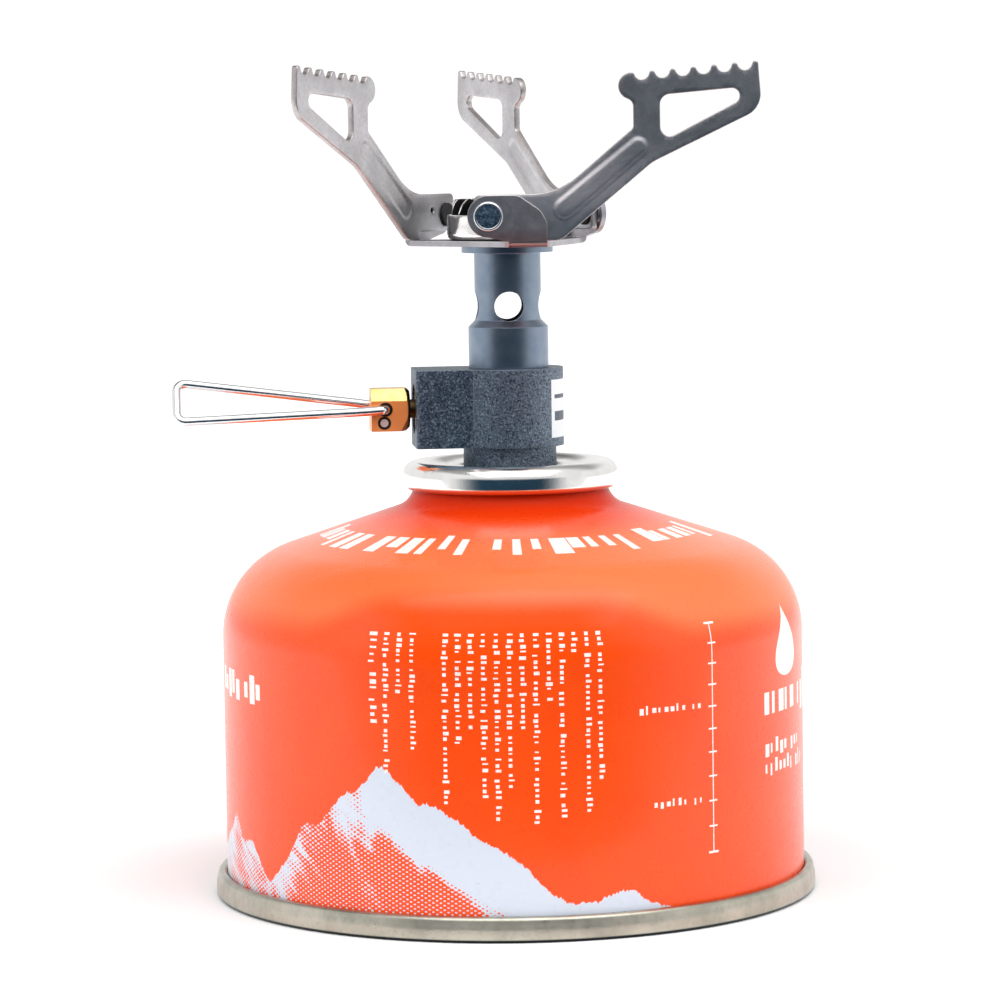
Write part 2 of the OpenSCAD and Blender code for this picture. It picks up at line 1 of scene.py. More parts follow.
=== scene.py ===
import math
import random
import bmesh
import bpy
from mathutils import Matrix, Vector
from mathutils.geometry import delaunay_2d_cdt


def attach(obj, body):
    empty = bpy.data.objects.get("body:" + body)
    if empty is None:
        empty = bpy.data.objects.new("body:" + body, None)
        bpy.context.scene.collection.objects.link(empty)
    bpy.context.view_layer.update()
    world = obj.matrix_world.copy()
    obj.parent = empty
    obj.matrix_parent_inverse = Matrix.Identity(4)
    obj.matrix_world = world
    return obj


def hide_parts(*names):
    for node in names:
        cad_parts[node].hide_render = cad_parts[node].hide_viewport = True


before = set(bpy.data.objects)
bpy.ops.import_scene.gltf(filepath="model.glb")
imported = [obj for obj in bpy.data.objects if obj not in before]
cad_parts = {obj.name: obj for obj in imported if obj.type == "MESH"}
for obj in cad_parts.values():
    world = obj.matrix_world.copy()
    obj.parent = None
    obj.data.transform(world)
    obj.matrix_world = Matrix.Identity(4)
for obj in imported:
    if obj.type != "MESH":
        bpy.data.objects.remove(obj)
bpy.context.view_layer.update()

scene = bpy.context.scene
MM = 0.001

# measures that materials and pieces share, in mm and degrees
VIEW_YAW = 5.5    # how far round from the front the camera stands
WALL_R, SHOULDER_Z, SHOULDER_R, CONE = 43.35, 38.9, 13.8, 18.5    # the can's wall, shoulder and cone
BARREL_R = 8.5    # just outside the valve body's round barrel
HOLE_X, HOLE_Z = -18.7, 72.4    # the handle's hole in the knob block
PIN_X, PIN_Z = -18.9, 70.4    # the knob block's cross pin

# ------------------------------------------------------------------ outline helpers (mm)


def rad(a):
    return math.radians(a)


def arc(c, r, a0, a1, steps):
    """Points on a circle from angle a0 to a1, in degrees"""
    return [(c[0] + r * math.cos(rad(a0 + (a1 - a0) * i / steps)),
             c[1] + r * math.sin(rad(a0 + (a1 - a0) * i / steps))) for i in range(steps + 1)]


def round_corner(a, b, c, steps):
    """The points that round corner b, between a and c, to radius b[2]"""
    if b[2] == 0:
        return [(b[0], b[1])]
    p = Vector(b[:2])
    u = (Vector(a[:2]) - p).normalized()
    v = (Vector(c[:2]) - p).normalized()
    half = math.acos(max(-1, min(1, u.dot(v)))) / 2
    m = p + (u + v).normalized() * b[2] / math.sin(half)
    t0 = p + u * b[2] / math.tan(half) - m
    t1 = p + v * b[2] / math.tan(half) - m
    a0 = math.degrees(math.atan2(t0.y, t0.x))
    sweep = math.degrees(math.atan2(t1.y, t1.x)) - a0
    sweep = (sweep + 180) % 360 - 180
    return arc(m, b[2], a0, a0 + sweep, steps)


def rounded(pts, steps):
    """A closed outline through (x, y, radius) points"""
    out = []
    for i, p in enumerate(pts):
        out += round_corner(pts[i - 1], p, pts[(i + 1) % len(pts)], steps)
    return out


def tidy_loop(pts):
    """The loop without points that lie on each other"""
    gap = 1e-4
    out = []
    for p in pts:
        if not out or math.dist(p, out[-1]) > gap:
            out.append(tuple(p))
    if math.dist(out[0], out[-1]) < gap:
        out.pop()
    return out


def split_long(pts, step):
    """The loop with no side longer than step"""
    out = []
    for i, p in enumerate(pts):
        q = pts[(i + 1) % len(pts)]
        k = max(1, math.ceil(math.dist(p, q) / step))
        out += [(p[0] + (q[0] - p[0]) * j / k, p[1] + (q[1] - p[1]) * j / k) for j in range(k)]
    return out


def inside(p, loop):
    found = False
    x, y = p
    for i in range(len(loop)):
        (x0, y0), (x1, y1) = loop[i - 1], loop[i]
        if (y0 > y) != (y1 > y) and x < (x1 - x0) * (y - y0) / (y1 - y0) + x0:
            found = not found
    return found


def shrink(loop, e):
    """Each vertex moved by e to the left of the loop's own direction"""
    n = len(loop)
    out = []
    for i in range(n):
        a, b, c = Vector(loop[i - 1]), Vector(loop[i]), Vector(loop[(i + 1) % n])
        d0, d1 = (b - a).normalized(), (c - b).normalized()
        nrm = Vector((-d0.y - d1.y, d0.x + d1.x))
        nrm.normalize()
        k = max(0.5, nrm.dot(Vector((-d0.y, d0.x))))
        q = b + nrm * (e / k)
        out.append((q.x, q.y))
    return out


# ------------------------------------------------------------------ pieces


class Build:
    """Collects verts and faces of one piece"""

    def __init__(self):
        self.v, self.f, self.m = [], [], []

    def add(self, verts, faces, pick=0):
        n = len(self.v)
        self.v += [tuple(p) for p in verts]
        self.f += [tuple(i + n for i in f) for f in faces]
        self.m += [pick] * len(faces)

    def lathe(self, prof, segs, closed=True, pick=0, place=None):
        """A profile of (r, z) turned about Z; place maps each point into the shared frame"""
        verts, faces, rows = [], [], []
        for r, z in prof:
            if r < 1e-6:
                rows.append([len(verts)] * segs)
                verts.append((0, 0, z))
            else:
                rows.append(list(range(len(verts), len(verts) + segs)))
                turns = [2 * math.pi * k / segs for k in range(segs)]
                verts += [(r * math.cos(a), r * math.sin(a), z) for a in turns]
        n = len(rows)
        for i in range(n if closed else n - 1):
            p, q = rows[i], rows[(i + 1) % n]
            for k in range(segs):
                face = tuple(dict.fromkeys((p[k], p[(k + 1) % segs], q[(k + 1) % segs], q[k])))
                if len(face) > 2:
                    faces.append(face)
        if place:
            verts = [place(Vector(p)) for p in verts]
        self.add(verts, faces, pick)

    def tube(self, path, r, sides):
        """A round bar along a path of Vectors, with closed ends"""
        n = len(path)
        verts, faces = [], []
        t0 = (path[1] - path[0]).normalized()
        e = t0.orthogonal().normalized()
        for i in range(n):
            t = (path[min(i + 1, n - 1)] - path[max(i - 1, 0)]).normalized()
            e = (e - t * e.dot(t)).normalized()
            b = t.cross(e)
            for k in range(sides):
                a = 2 * math.pi * k / sides
                verts.append(path[i] + (e * math.cos(a) + b * math.sin(a)) * r)
        for i in range(n - 1):
            for k in range(sides):
                k2 = (k + 1) % sides
                faces.append((i * sides + k, i * sides + k2, (i + 1) * sides + k2, (i + 1) * sides + k))
        faces.append(tuple(range(sides - 1, -1, -1)))
        faces.append(tuple((n - 1) * sides + k for k in range(sides)))
        self.add(verts, faces)

    def piece(self, name, body, slot, looks, sharp, *hides):
        """The object: edges steeper than sharp degrees stay sharp, and it replaces the nodes in hides"""
        me = bpy.data.meshes.new(name)
        me.from_pydata([tuple(c * MM for c in v) for v in self.v], [], self.f)
        me.validate()
        for look in looks:
            me.materials.append(look.m)
        for p, k in zip(me.polygons, self.m):
            p.material_index = k
        me.shade_smooth()
        me.set_sharp_from_angle(angle=rad(sharp))
        me.update()
        o = bpy.data.objects.new(name, me)
        scene.collection.objects.link(o)
        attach(o, body)
        if hides:
            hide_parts(*hides)
        return o


# ------------------------------------------------------------------ materials

VIEW_COS, VIEW_SIN = math.cos(rad(VIEW_YAW)), math.sin(rad(VIEW_YAW))


def feed(tree, value, socket):
    """Links a number or a colour to the socket, or sets the socket's own value"""
    value = value.socket if isinstance(value, Num) else value
    if isinstance(value, bpy.types.NodeSocket):
        tree.links.new(value, socket)
    else:
        socket.default_value = value


def shade(tone, k):
    return tuple(v * k for v in tone)


class Num:
    """A number in a node tree, so that sums read as sums"""

    def __init__(self, tree, socket):
        self.tree, self.socket = tree, socket

    def op(self, name, *others):
        node = self.tree.nodes.new("ShaderNodeMath")
        node.operation = name
        for k, v in enumerate((self,) + others):
            feed(self.tree, v, node.inputs[k])
        return Num(self.tree, node.outputs[0])

    def __add__(self, o): return self.op("ADD", o)
    def __sub__(self, o): return self.op("SUBTRACT", o)
    def __mul__(self, o): return self.op("MULTIPLY", o)
    def __truediv__(self, o): return self.op("DIVIDE", o)
    def __neg__(self): return self.op("MULTIPLY", -1.0)
    __radd__ = __add__
    __rmul__ = __mul__

    def __rsub__(self, o): return (-self).op("ADD", o)
    def above(self, o): return self.op("GREATER_THAN", o)
    def below(self, o): return self.op("LESS_THAN", o)
    def sin(self): return self.op("SINE")
    def max(self, o): return self.op("MAXIMUM", o)
    def power(self, o): return self.op("POWER", o)

    def step(self, lo, hi, a=0.0, b=1.0):
        """a below lo, b above hi, and a smooth change between"""
        node = self.tree.nodes.new("ShaderNodeMapRange")
        node.interpolation_type = "SMOOTHSTEP"
        for k, v in (("Value", self), ("From Min", lo), ("From Max", hi), ("To Min", a), ("To Max", b)):
            feed(self.tree, v, node.inputs[k])
        return Num(self.tree, node.outputs["Result"])


class Mat:
    """A procedural material; positions are the object's own, in mm"""

    def __init__(self, name, **sockets):
        self.m = bpy.data.materials.new(name)
        self.m.use_nodes = True
        self.t = self.m.node_tree
        self.b = next(n for n in self.t.nodes if n.type == "BSDF_PRINCIPLED")
        for k, v in sockets.items():
            self.b.inputs[k.replace("_", " ")].default_value = v
        coord = self.t.nodes.new("ShaderNodeTexCoord")
        in_mm = self.t.nodes.new("ShaderNodeVectorMath")
        in_mm.operation = "SCALE"
        self.t.links.new(coord.outputs["Object"], in_mm.inputs[0])
        in_mm.inputs["Scale"].default_value = 1 / MM
        self.pos = in_mm.outputs[0]
        sep = self.t.nodes.new("ShaderNodeSeparateXYZ")
        self.t.links.new(self.pos, sep.inputs[0])
        self.x, self.y, self.z = (Num(self.t, s) for s in sep.outputs)

    def around(self):
        """The angle about Z, in radians: 0 on the front side, positive to its right"""
        across = self.x * VIEW_COS - self.y * VIEW_SIN
        return across.op("ARCTAN2", -(self.x * VIEW_SIN + self.y * VIEW_COS))

    def vec(self, *xyz):
        node = self.t.nodes.new("ShaderNodeCombineXYZ")
        for k, v in enumerate(xyz):
            feed(self.t, v, node.inputs[k])
        return node.outputs[0]

    def noise(self, scale, detail=2.0, rough=0.5, at=None, bend=0.0):
        node = self.t.nodes.new("ShaderNodeTexNoise")
        self.t.links.new(at or self.pos, node.inputs["Vector"])
        for k, v in (("Scale", scale), ("Detail", detail), ("Roughness", rough), ("Distortion", bend)):
            node.inputs[k].default_value = v
        return Num(self.t, node.outputs[0])

    def cells(self, scale):
        """The distance to the nearest of scattered points"""
        node = self.t.nodes.new("ShaderNodeTexVoronoi")
        self.t.links.new(self.pos, node.inputs["Vector"])
        node.inputs["Scale"].default_value = scale
        return Num(self.t, node.outputs["Distance"])

    def curve(self, value, points):
        """value put through straight lines between points"""
        node = self.t.nodes.new("ShaderNodeFloatCurve")
        c = node.mapping.curves[0]
        while len(c.points) > 2:
            c.points.remove(c.points[1])
        c.points[0].location, c.points[1].location = points[0], points[-1]
        for p in points[1:-1]:
            c.points.new(*p)
        for p in c.points:
            p.handle_type = "VECTOR"
        node.mapping.update()
        self.t.links.new(value.socket, node.inputs["Value"])
        return Num(self.t, node.outputs[0])

    def mix(self, f, a, b):
        """Colour a where f is 0, b where it is 1"""
        node = self.t.nodes.new("ShaderNodeMix")
        node.data_type = "RGBA"
        self.t.links.new(f.socket, node.inputs["Factor"])
        for s, v in ((node.inputs[6], a), (node.inputs[7], b)):
            feed(self.t, v if isinstance(v, bpy.types.NodeSocket) else (*v, 1), s)
        return node.outputs[2]

    def put(self, name, value):
        feed(self.t, value, self.b.inputs[name])

    def bump(self, height, size, edge=0.0):
        """height is in mm times size; edge rounds the sharp edges to that radius in mm"""
        node = self.t.nodes.new("ShaderNodeBump")
        node.inputs["Strength"].default_value = 1.0
        node.inputs["Distance"].default_value = size * MM
        self.t.links.new(height.socket, node.inputs["Height"])
        if edge:
            self.t.links.new(self.round_edges(edge), node.inputs["Normal"])
        self.put("Normal", node.outputs[0])

    def round_edges(self, edge):
        """The normal, as if the sharp edges were rounded"""
        bev = self.t.nodes.new("ShaderNodeBevel")
        bev.samples = 4
        bev.inputs["Radius"].default_value = edge * MM
        return bev.outputs[0]

    def edge_highlight_mask(self, edge, upward=0.0):
        """1 on edges sharper than the radius, 0 on flat faces, for painted edge highlights; upward keeps
        those that face up
        """
        geo = self.t.nodes.new("ShaderNodeNewGeometry")
        node = self.t.nodes.new("ShaderNodeVectorMath")
        node.operation = "DOT_PRODUCT"
        bevelled = self.round_edges(edge)
        self.t.links.new(bevelled, node.inputs[0])
        self.t.links.new(geo.outputs["Normal"], node.inputs[1])
        mask = Num(self.t, node.outputs["Value"]).step(0.92, 0.99, 1.0, 0.0)
        if upward:
            sep = self.t.nodes.new("ShaderNodeSeparateXYZ")
            self.t.links.new(bevelled, sep.inputs[0])
            mask = mask * Num(self.t, sep.outputs[2]).step(-0.1, upward)
        return mask


def titanium_sheet(name, tone, dark, warm, root=0.5, foot=0.0):
    """Rolled titanium: fine grain, cloudy handling marks and a warmer tint in places"""
    m = Mat(name, Metallic=1.0)
    cloud = m.noise(0.16, 4, 0.6)
    fine = m.noise(2.2, 3, 0.6)
    mott = m.noise(0.55, 3, 0.65)
    c = m.mix(cloud.step(0.35, 0.68), tone, dark)
    c = m.mix(mott.step(0.52, 0.75) * 0.45, c, warm)
    c = m.mix(fine.step(0.3, 0.75) * 0.34, c, shade(tone, 0.55))
    # painted light: the front one is paler towards its foot; all are darker next to the burner
    if foot:
        c = m.mix(m.z.step(104.0, 112.0, foot, 0.0), c, (0.82, 0.76, 0.78))
    c = m.mix(m.z.step(99.0, 104.5, root, 0.0), c, (0.22, 0.26, 0.29))
    m.put("Base Color", c)
    m.put("Roughness", m.noise(1.1, 3, 0.6) * 0.16 + m.noise(7.0, 2) * 0.08 + 0.24)
    m.bump(m.noise(5.0, 3, 0.6) + m.noise(0.9, 2) * 0.8, 0.012)
    return m


TITAN = titanium_sheet("titanium_sheet", (0.60, 0.585, 0.60), (0.47, 0.455, 0.47),
                       (0.49, 0.42, 0.405), root=0.4)
# the front supports: the same titanium, darkened as painted shade
TITAN_SHADED = titanium_sheet("titanium_front_shaded", (0.42, 0.425, 0.45), (0.33, 0.335, 0.36),
                            (0.37, 0.335, 0.34), root=0.7, foot=0.75)
TITAN_EDGE = titanium_sheet("titanium_cut_edge", (0.62, 0.58, 0.58), (0.46, 0.42, 0.41),
                            (0.48, 0.34, 0.30))


def base_plate_metal():
    """Bent titanium with painted highlights on its edges"""
    m = Mat("titanium_plate", Metallic=1.0)
    cloud = m.noise(0.2, 4, 0.6)
    c = m.mix(cloud.step(0.35, 0.68), (0.44, 0.425, 0.45), (0.35, 0.335, 0.355))
    # heat and bending leave the foot of the front ear reddish
    foot = m.z.step(97.6, 99.6, 1.0, 0.0) * m.y.below(-12.6)
    c = m.mix(foot * (m.noise(0.5, 3) * 0.5 + 0.4), c, (0.36, 0.19, 0.18))
    face = m.y.below(-12.9) * m.x.step(-5.0, 6.5, 0.0, 0.8)
    c = m.mix(face * 0.4, c, (0.36, 0.31, 0.32))
    # painted highlight on the edges that face up
    c = m.mix(m.edge_highlight_mask(0.24, 0.3) * 0.9, c, (0.94, 0.93, 0.94))
    m.put("Base Color", c)
    m.put("Roughness", m.noise(1.3, 3, 0.6) * 0.2 + 0.26)
    m.bump(m.noise(4.5, 3, 0.6) + m.noise(0.8, 2) * 0.8, 0.012, 0.14)
    return m


PLATE = base_plate_metal()


def can_paint():
    """Glossy paint on the can, with a range of mountains printed in halftone"""
    m = Mat("can_print", Metallic=0.0, Coat_Roughness=0.10)
    s = m.around() * WALL_R    # the way round from the front, in mm
    z = m.z
    # the skyline: the way round and the height
    half_way, highest = 136.2, 30
    ridge = [(-136.2, 4.0), (-128, 9), (-121, 7), (-112, 15), (-107, 12.5), (-98, 19), (-92, 13),
             (-84, 9.5), (-77, 12), (-70, 6), (-62, 8.2), (-56, 11.6), (-53.4, 14.4), (-50.6, 10),
             (-47.2, 11.2), (-42, 5.2), (-37, 9.6), (-33.5, 15.2), (-30.6, 15.0), (-26.4, 19.6),
             (-22.9, 21.0), (-20.0, 24.6), (-18.0, 23.3), (-16.5, 21.9), (-14.2, 19.3),
             (-11.8, 19.2), (-9.2, 17.6), (-6.9, 16.2), (-5.3, 14.5), (-2.2, 13.0), (0.4, 11.3),
             (2.0, 9.8), (4.3, 7.2), (6.1, 5.9), (8.3, 5.0), (11.9, 5.3), (14.3, 6.3),
             (17.0, 6.6), (19.5, 4.5), (24.4, 3.2), (38, 2.0), (60, 1.6), (68, 4), (75, 10.5),
             (80, 8.2), (88, 17.6), (93, 12.8), (99, 15.5), (108, 8), (116, 10.6), (124, 5.2),
             (136.2, 4.0)]
    points = [((a + half_way) / (2 * half_way), h / highest) for a, h in ridge]
    top = m.curve(s / (2 * half_way) + 0.5, points) * highest
    crags = m.vec(s, 0.0, 0.0)
    top = top + (m.noise(0.9, 3, 0.7, crags) - 0.5) * 2.2 + (m.noise(2.0, 2, 0.6, crags) - 0.5) * 1.3
    # rock and snow run down the slopes
    flow = m.vec(s * 0.16 + z * 0.11, z * 0.055 - s * 0.02, 0.3)
    streaks = m.vec(s * 0.12 + z * 0.16, z * 0.05, 0.0)
    tone = m.noise(1.0, 5, 0.62, flow, 0.8) * 0.75 + m.noise(3.4, 3, 0.6, streaks) * 0.35
    depth = top - z
    tone = tone + depth.step(0.2, 12.0, -0.06, 0.14)
    # the sunlit flank to the right of the summit is solid, the left flank is mostly dots
    tone = tone - s.step(-24.0, -20.5) * depth.step(7.0, 12.0, 0.22, 0.0)
    tone = tone + s.step(-24.0, -21.0, 0.05, 0.0) * s.step(-46.0, -41.0)
    # the halftone's dots, with their pitch round and up in mm
    round_pitch, up_pitch = 1.1, 0.65
    screen = (s * (2 * math.pi / round_pitch)).sin() * (z * (2 * math.pi / up_pitch)).sin() * 0.5 + 0.5
    dots = screen.below(tone.step(0.44, 0.68, 0.0, 0.76))
    snow = z.below(top) * (1.0 - dots)

    grain = m.noise(0.11, 3, 0.6)
    base = m.mix(grain.step(0.35, 0.7), (0.86, 0.070, 0.0030), (0.83, 0.063, 0.0026))
    # painted reflection: paler on the cone and the sides of the shoulder; painted shadow: deep red under
    # the collar
    lower = s.step(-34.0, -18.0, 4.0, 0.0) + s.step(12.0, 30.0, 0.0, 5.0) - s.step(60.0, 130.0)
    sides = s.step(-30.0, 30.0, 0.75, 1.0) * s.step(60.0, 130.0, 1.0, 0.75)
    pale = (z + lower).step(45.5, 50.0) * sides
    base = m.mix(pale * z.step(53.5, 56.5, 1.0, 0.1), base, (0.86, 0.165, 0.045))
    # painted shadow of the collar
    under = z.step(55.0, 58.5)
    base = m.mix(under * 0.85, base, (0.55, 0.018, 0.001))
    # the varnish is thin there and in the middle of the shoulder
    middle = s.step(-24.0, -14.0) * s.step(8.0, 22.0, 1.0, 0.0)
    thin = under + middle * z.step(38.0, 40.5) * z.step(45.5, 49.0, 1.0, 0.0)
    m.put("Coat Weight", 0.24 - thin * 0.2)
    m.put("Specular IOR Level", 0.3 - thin * 0.24)
    base = m.mix(snow, base, (0.58, 0.63, 0.72))
    m.put("Base Color", base)
    m.put("Roughness", m.noise(0.5, 3) * 0.08 + 0.24)
    m.bump(m.noise(1.2, 2) * 0.2 + m.noise(0.12, 2) * 3.0 + snow * 0.35, 0.01)
    return m


CAN = can_paint()


def white_ink():
    """White print, a little worn so that the paint shows through"""
    m = Mat("white_ink", Metallic=0.0, Coat_Weight=0.5, Coat_Roughness=0.12)
    worn = m.noise(2.6, 3, 0.7).step(0.4, 0.72) * 0.7
    m.put("Base Color", m.mix(worn, (0.88, 0.86, 0.84), (0.88, 0.50, 0.36)))
    m.put("Roughness", m.noise(4.0, 2) * 0.2 + 0.3)
    m.bump(m.noise(5.0, 2), 0.006)
    return m


INK = white_ink()


def tinplate():
    """Dull tinned steel with tarnish, dark specks and a painted shadow along its foot"""
    m = Mat("tinplate_rim", Metallic=1.0)
    tarnish = m.noise(0.10, 4, 0.65)
    specks = m.cells(1.4).below(0.07) * m.noise(0.3, 2).above(0.56)
    c = m.mix(tarnish.step(0.35, 0.7), (0.53, 0.51, 0.43), (0.36, 0.355, 0.295))
    c = m.mix(m.noise(1.6, 3, 0.7).step(0.5, 0.8) * 0.35, c, (0.28, 0.24, 0.18))
    # painted shadow: nearly black along the bottom edge
    c = m.mix(m.z.step(0.34, 0.62, 1.0, 0.0), c, (0.012, 0.016, 0.02))
    c = m.mix(specks, c, (0.12, 0.09, 0.07))
    m.put("Base Color", c)
    m.put("Roughness", m.noise(0.7, 4, 0.6) * 0.22 + 0.2)
    m.bump(m.noise(2.5, 3) + m.noise(0.35, 2) * 2.0, 0.02)
    return m


def bright_steel(name, tone, rough, marks, edge=0.0, metal=1.0):
    """Polished metal with faint smears and fine scratches"""
    m = Mat(name, Metallic=metal)
    smear = m.noise(0.22, 4, 0.6, bend=0.6)
    m.put("Base Color", m.mix(smear.step(0.4, 0.75) * 0.6, tone, shade(tone, 0.84)))
    m.put("Roughness", m.noise(1.5, 4, 0.65) * marks * 2 + rough)
    m.bump(m.noise(3.0, 3, 0.6) + m.noise(0.4, 2) * 1.5, 0.006, edge)
    return m


def anodised_tube():
    """Lathe-turned and anodised: fine rings along Z, cloudy dye, and painted shade in the bore"""
    tone, dark = (0.235, 0.285, 0.355), (0.185, 0.24, 0.315)
    m = Mat("anodised_tube", Metallic=1.0)
    rings = m.noise(1.0, 2, 0.6, m.vec(0.0, 0.0, m.z * 6.0))
    dye = m.noise(0.35, 4, 0.6)
    c = m.mix(dye.step(0.35, 0.7), tone, dark)
    c = m.mix((rings - 0.5).step(0.0, 0.3) * 0.25, c, shade(tone, 0.7))
    # painted shade: the bore is nearly black
    bore = (m.x * m.x + m.y * m.y).step(4.15 ** 2, 4.3 ** 2, 1.0, 0.0)
    c = m.mix(bore * 0.95, c, (0.01, 0.014, 0.02))
    m.put("Base Color", c)
    m.put("Roughness", rings * 0.12 + m.noise(5.0, 2) * 0.08 + 0.22)
    m.bump(rings * 1.5 + m.noise(6.0, 2, 0.6), 0.006, 0.1)
    return m


def blasted():
    """Bead-blasted and anodised: a fine pebbled skin with painted glints"""
    m = Mat("blasted_body", Metallic=0.85)
    grit = m.cells(3.0) * 0.9 + m.noise(7.0, 3, 0.65) * 0.7
    c = m.mix(m.noise(0.35, 3).step(0.35, 0.7), (0.070, 0.105, 0.150), (0.052, 0.081, 0.120))
    turn = m.around() * (180 / math.pi)
    out = m.x * m.x + m.y * m.y    # the distance from the axis, squared
    # painted light: the round barrel is paler than the block, most of all on its right
    c = m.mix(out.below(BARREL_R ** 2) * turn.step(-50.0, 60.0, 0.25, 0.8), c, (0.16, 0.195, 0.24))
    # painted glints
    c = m.mix(m.noise(3.3, 3, 0.7).step(0.50, 0.64) * 0.7, c, (0.31, 0.375, 0.46))
    pits = m.noise(2.9, 2, 0.6, bend=0.3).step(0.36, 0.48, 1.0, 0.0)
    c = m.mix(pits * 0.75, c, (0.010, 0.014, 0.022))
    # painted highlight on the sharp edges
    c = m.mix(m.edge_highlight_mask(0.2) * 0.6, c, (0.36, 0.40, 0.46))
    # a plain pale label on the barrel, with two bars
    label = turn.above(50.5) * turn.below(96.0) * m.z.above(67.9) * m.z.below(76.5)
    label = label * out.above(7.7 ** 2)
    bars = m.z.above(73.7) * m.z.below(74.3) + m.z.above(70.4) * m.z.below(71.8)
    bars = bars * turn.above(56.0) * turn.below(90.0)
    c = m.mix(label, c, (0.80, 0.82, 0.84))
    c = m.mix(label * bars, c, (0.07, 0.09, 0.12))
    m.put("Base Color", c)
    m.put("Metallic", (1.0 - label) * 0.85)
    m.put("Roughness", m.noise(6.0, 2) * 0.2 + 0.36)
    m.bump(grit * (1.0 - label * 0.9), 0.06, 0.28)
    return m


def brass_metal(name, tone, edge, rough, knob=False):
    """Brushed brass; knob adds what only the knob block shows"""
    m = Mat(name, Metallic=1.0)
    dull = m.noise(0.7, 4, 0.6)
    lines = m.noise(1.0, 2, 0.6, m.vec(m.x * 0.5, m.y * 7.0, m.z * 7.0))
    c = m.mix(dull.step(0.4, 0.75), tone, (tone[0] * 0.82, tone[1] * 0.68, tone[2] * 0.5))
    c = m.mix(lines.step(0.55, 0.75) * 0.25, c, (tone[0] * 0.6, tone[1] * 0.5, tone[2] * 0.4))
    if knob:
        # painted light: redder on the upright sides and darker, streaked on top; painted shadow,
        # nearly black, round the handle's hole, the cross pin and the inner end
        side = m.z.step(73.55, 73.75, 1.0, 0.0)
        c = m.mix((1.0 - side) * (lines.step(0.4, 0.7) * 0.4 + 0.3), c, (0.48, 0.31, 0.11))
        c = m.mix(side * 0.9, c, (1.0, 0.29, 0.078))
        dx, dz = m.x - HOLE_X, m.z - HOLE_Z
        hole = (dx * dx + dz * dz).step(1.0, 1.25, 1.0, 0.0)
        dx, dz = m.x - PIN_X, m.z - PIN_Z
        pin = (dx * dx + dz * dz).step(0.85, 1.1, 1.0, 0.0)
        c = m.mix(hole.max(pin).max(m.x.step(-15.5, -15.25)), c, (0.02, 0.015, 0.012))
        m.put("Metallic", 1.0 - side * 0.65)
    else:
        # painted shade, dark in the gap between the knob and the valve body
        c = m.mix(m.x.step(-15.8, -15.3) * m.x.step(-13.6, -13.2, 0.9, 0.0), c, (0.03, 0.022, 0.014))
    m.put("Base Color", c)
    m.put("Roughness", dull * 0.14 + lines * 0.1 + rough)
    m.bump(lines * 0.8 + m.noise(4.0, 2), 0.008, edge)
    return m


def mottled_face():
    """The knurled, darkened face of a rivet"""
    m = Mat("rivet_face", Metallic=0.9)
    spots = m.noise(2.4, 4, 0.7, bend=0.5)
    c = m.mix(spots.step(0.42, 0.62), (0.025, 0.05, 0.085), (0.10, 0.15, 0.21))
    m.put("Base Color", c)
    m.put("Roughness", spots * 0.3 + 0.3)
    m.bump(spots * 2.0 + m.noise(6.0, 2), 0.05)
    return m


def soft_black(name, tone):
    """Rubber, or near black for painted shade; slightly blotchy"""
    m = Mat(name, Metallic=0.0)
    m.put("Base Color", m.mix(m.noise(1.5, 3).step(0.35, 0.7), tone, shade(tone, 1.8)))
    m.put("Roughness", m.noise(3.0, 2) * 0.2 + 0.6)
    m.bump(m.noise(6.0, 2), 0.01)
    return m


def pale_plastic():
    """Moulded plastic of the valve inside the can"""
    m = Mat("valve_plastic", Metallic=0.0)
    cloud = m.noise(0.8, 3).step(0.3, 0.7)
    m.put("Base Color", m.mix(cloud, (0.78, 0.76, 0.70), (0.70, 0.67, 0.60)))
    m.put("Roughness", m.noise(2.0, 2) * 0.15 + 0.38)
    m.bump(m.noise(3.0, 2), 0.01, 0.08)
    return m


def heated_steel():
    """Flame ring: steel tinted by heat towards straw at the top"""
    m = Mat("heated_steel", Metallic=1.0)
    warm = m.z.step(100.6, 103.6)
    c = m.mix(m.noise(0.5, 3).step(0.35, 0.7), (0.84, 0.83, 0.82), (0.70, 0.68, 0.66))
    c = m.mix(warm * m.noise(0.4, 2).step(0.35, 0.7) * 0.3, c, (0.50, 0.40, 0.30))
    m.put("Base Color", c)
    m.put("Roughness", m.noise(1.5, 3) * 0.16 + 0.17)
    m.bump(m.noise(4.0, 2), 0.008, 0.05)
    return m


RIM = tinplate()
CHROME = bright_steel("bright_tin_collar", (0.88, 0.87, 0.85), 0.07, 0.06)
WIRE = bright_steel("polished_wire", (0.82, 0.82, 0.83), 0.05, 0.03)
PIN = bright_steel("pin_end", (0.80, 0.58, 0.55), 0.3, 0.05, metal=0.4)
CUP = bright_steel("polished_cup", (0.86, 0.84, 0.82), 0.09, 0.05)
STEEL = bright_steel("plain_steel", (0.62, 0.61, 0.60), 0.18, 0.08, 0.06)
RING = bright_steel("rivet_ring", (0.72, 0.74, 0.77), 0.16, 0.05)
TUBE = anodised_tube()
BODY = blasted()
BRASS = brass_metal("brass_block", (0.80, 0.60, 0.25), 0.12, 0.2, knob=True)
BRASS_IN = brass_metal("brass_inside", (0.78, 0.54, 0.22), 0.08, 0.28)
FACE = mottled_face()
RUBBER = soft_black("seal_rubber", (0.02, 0.02, 0.022))
# near black, painted shade on hidden and recessed faces
DARK = soft_black("painted_shade_black", (0.006, 0.006, 0.007))
PALE = pale_plastic()
HOT = heated_steel()

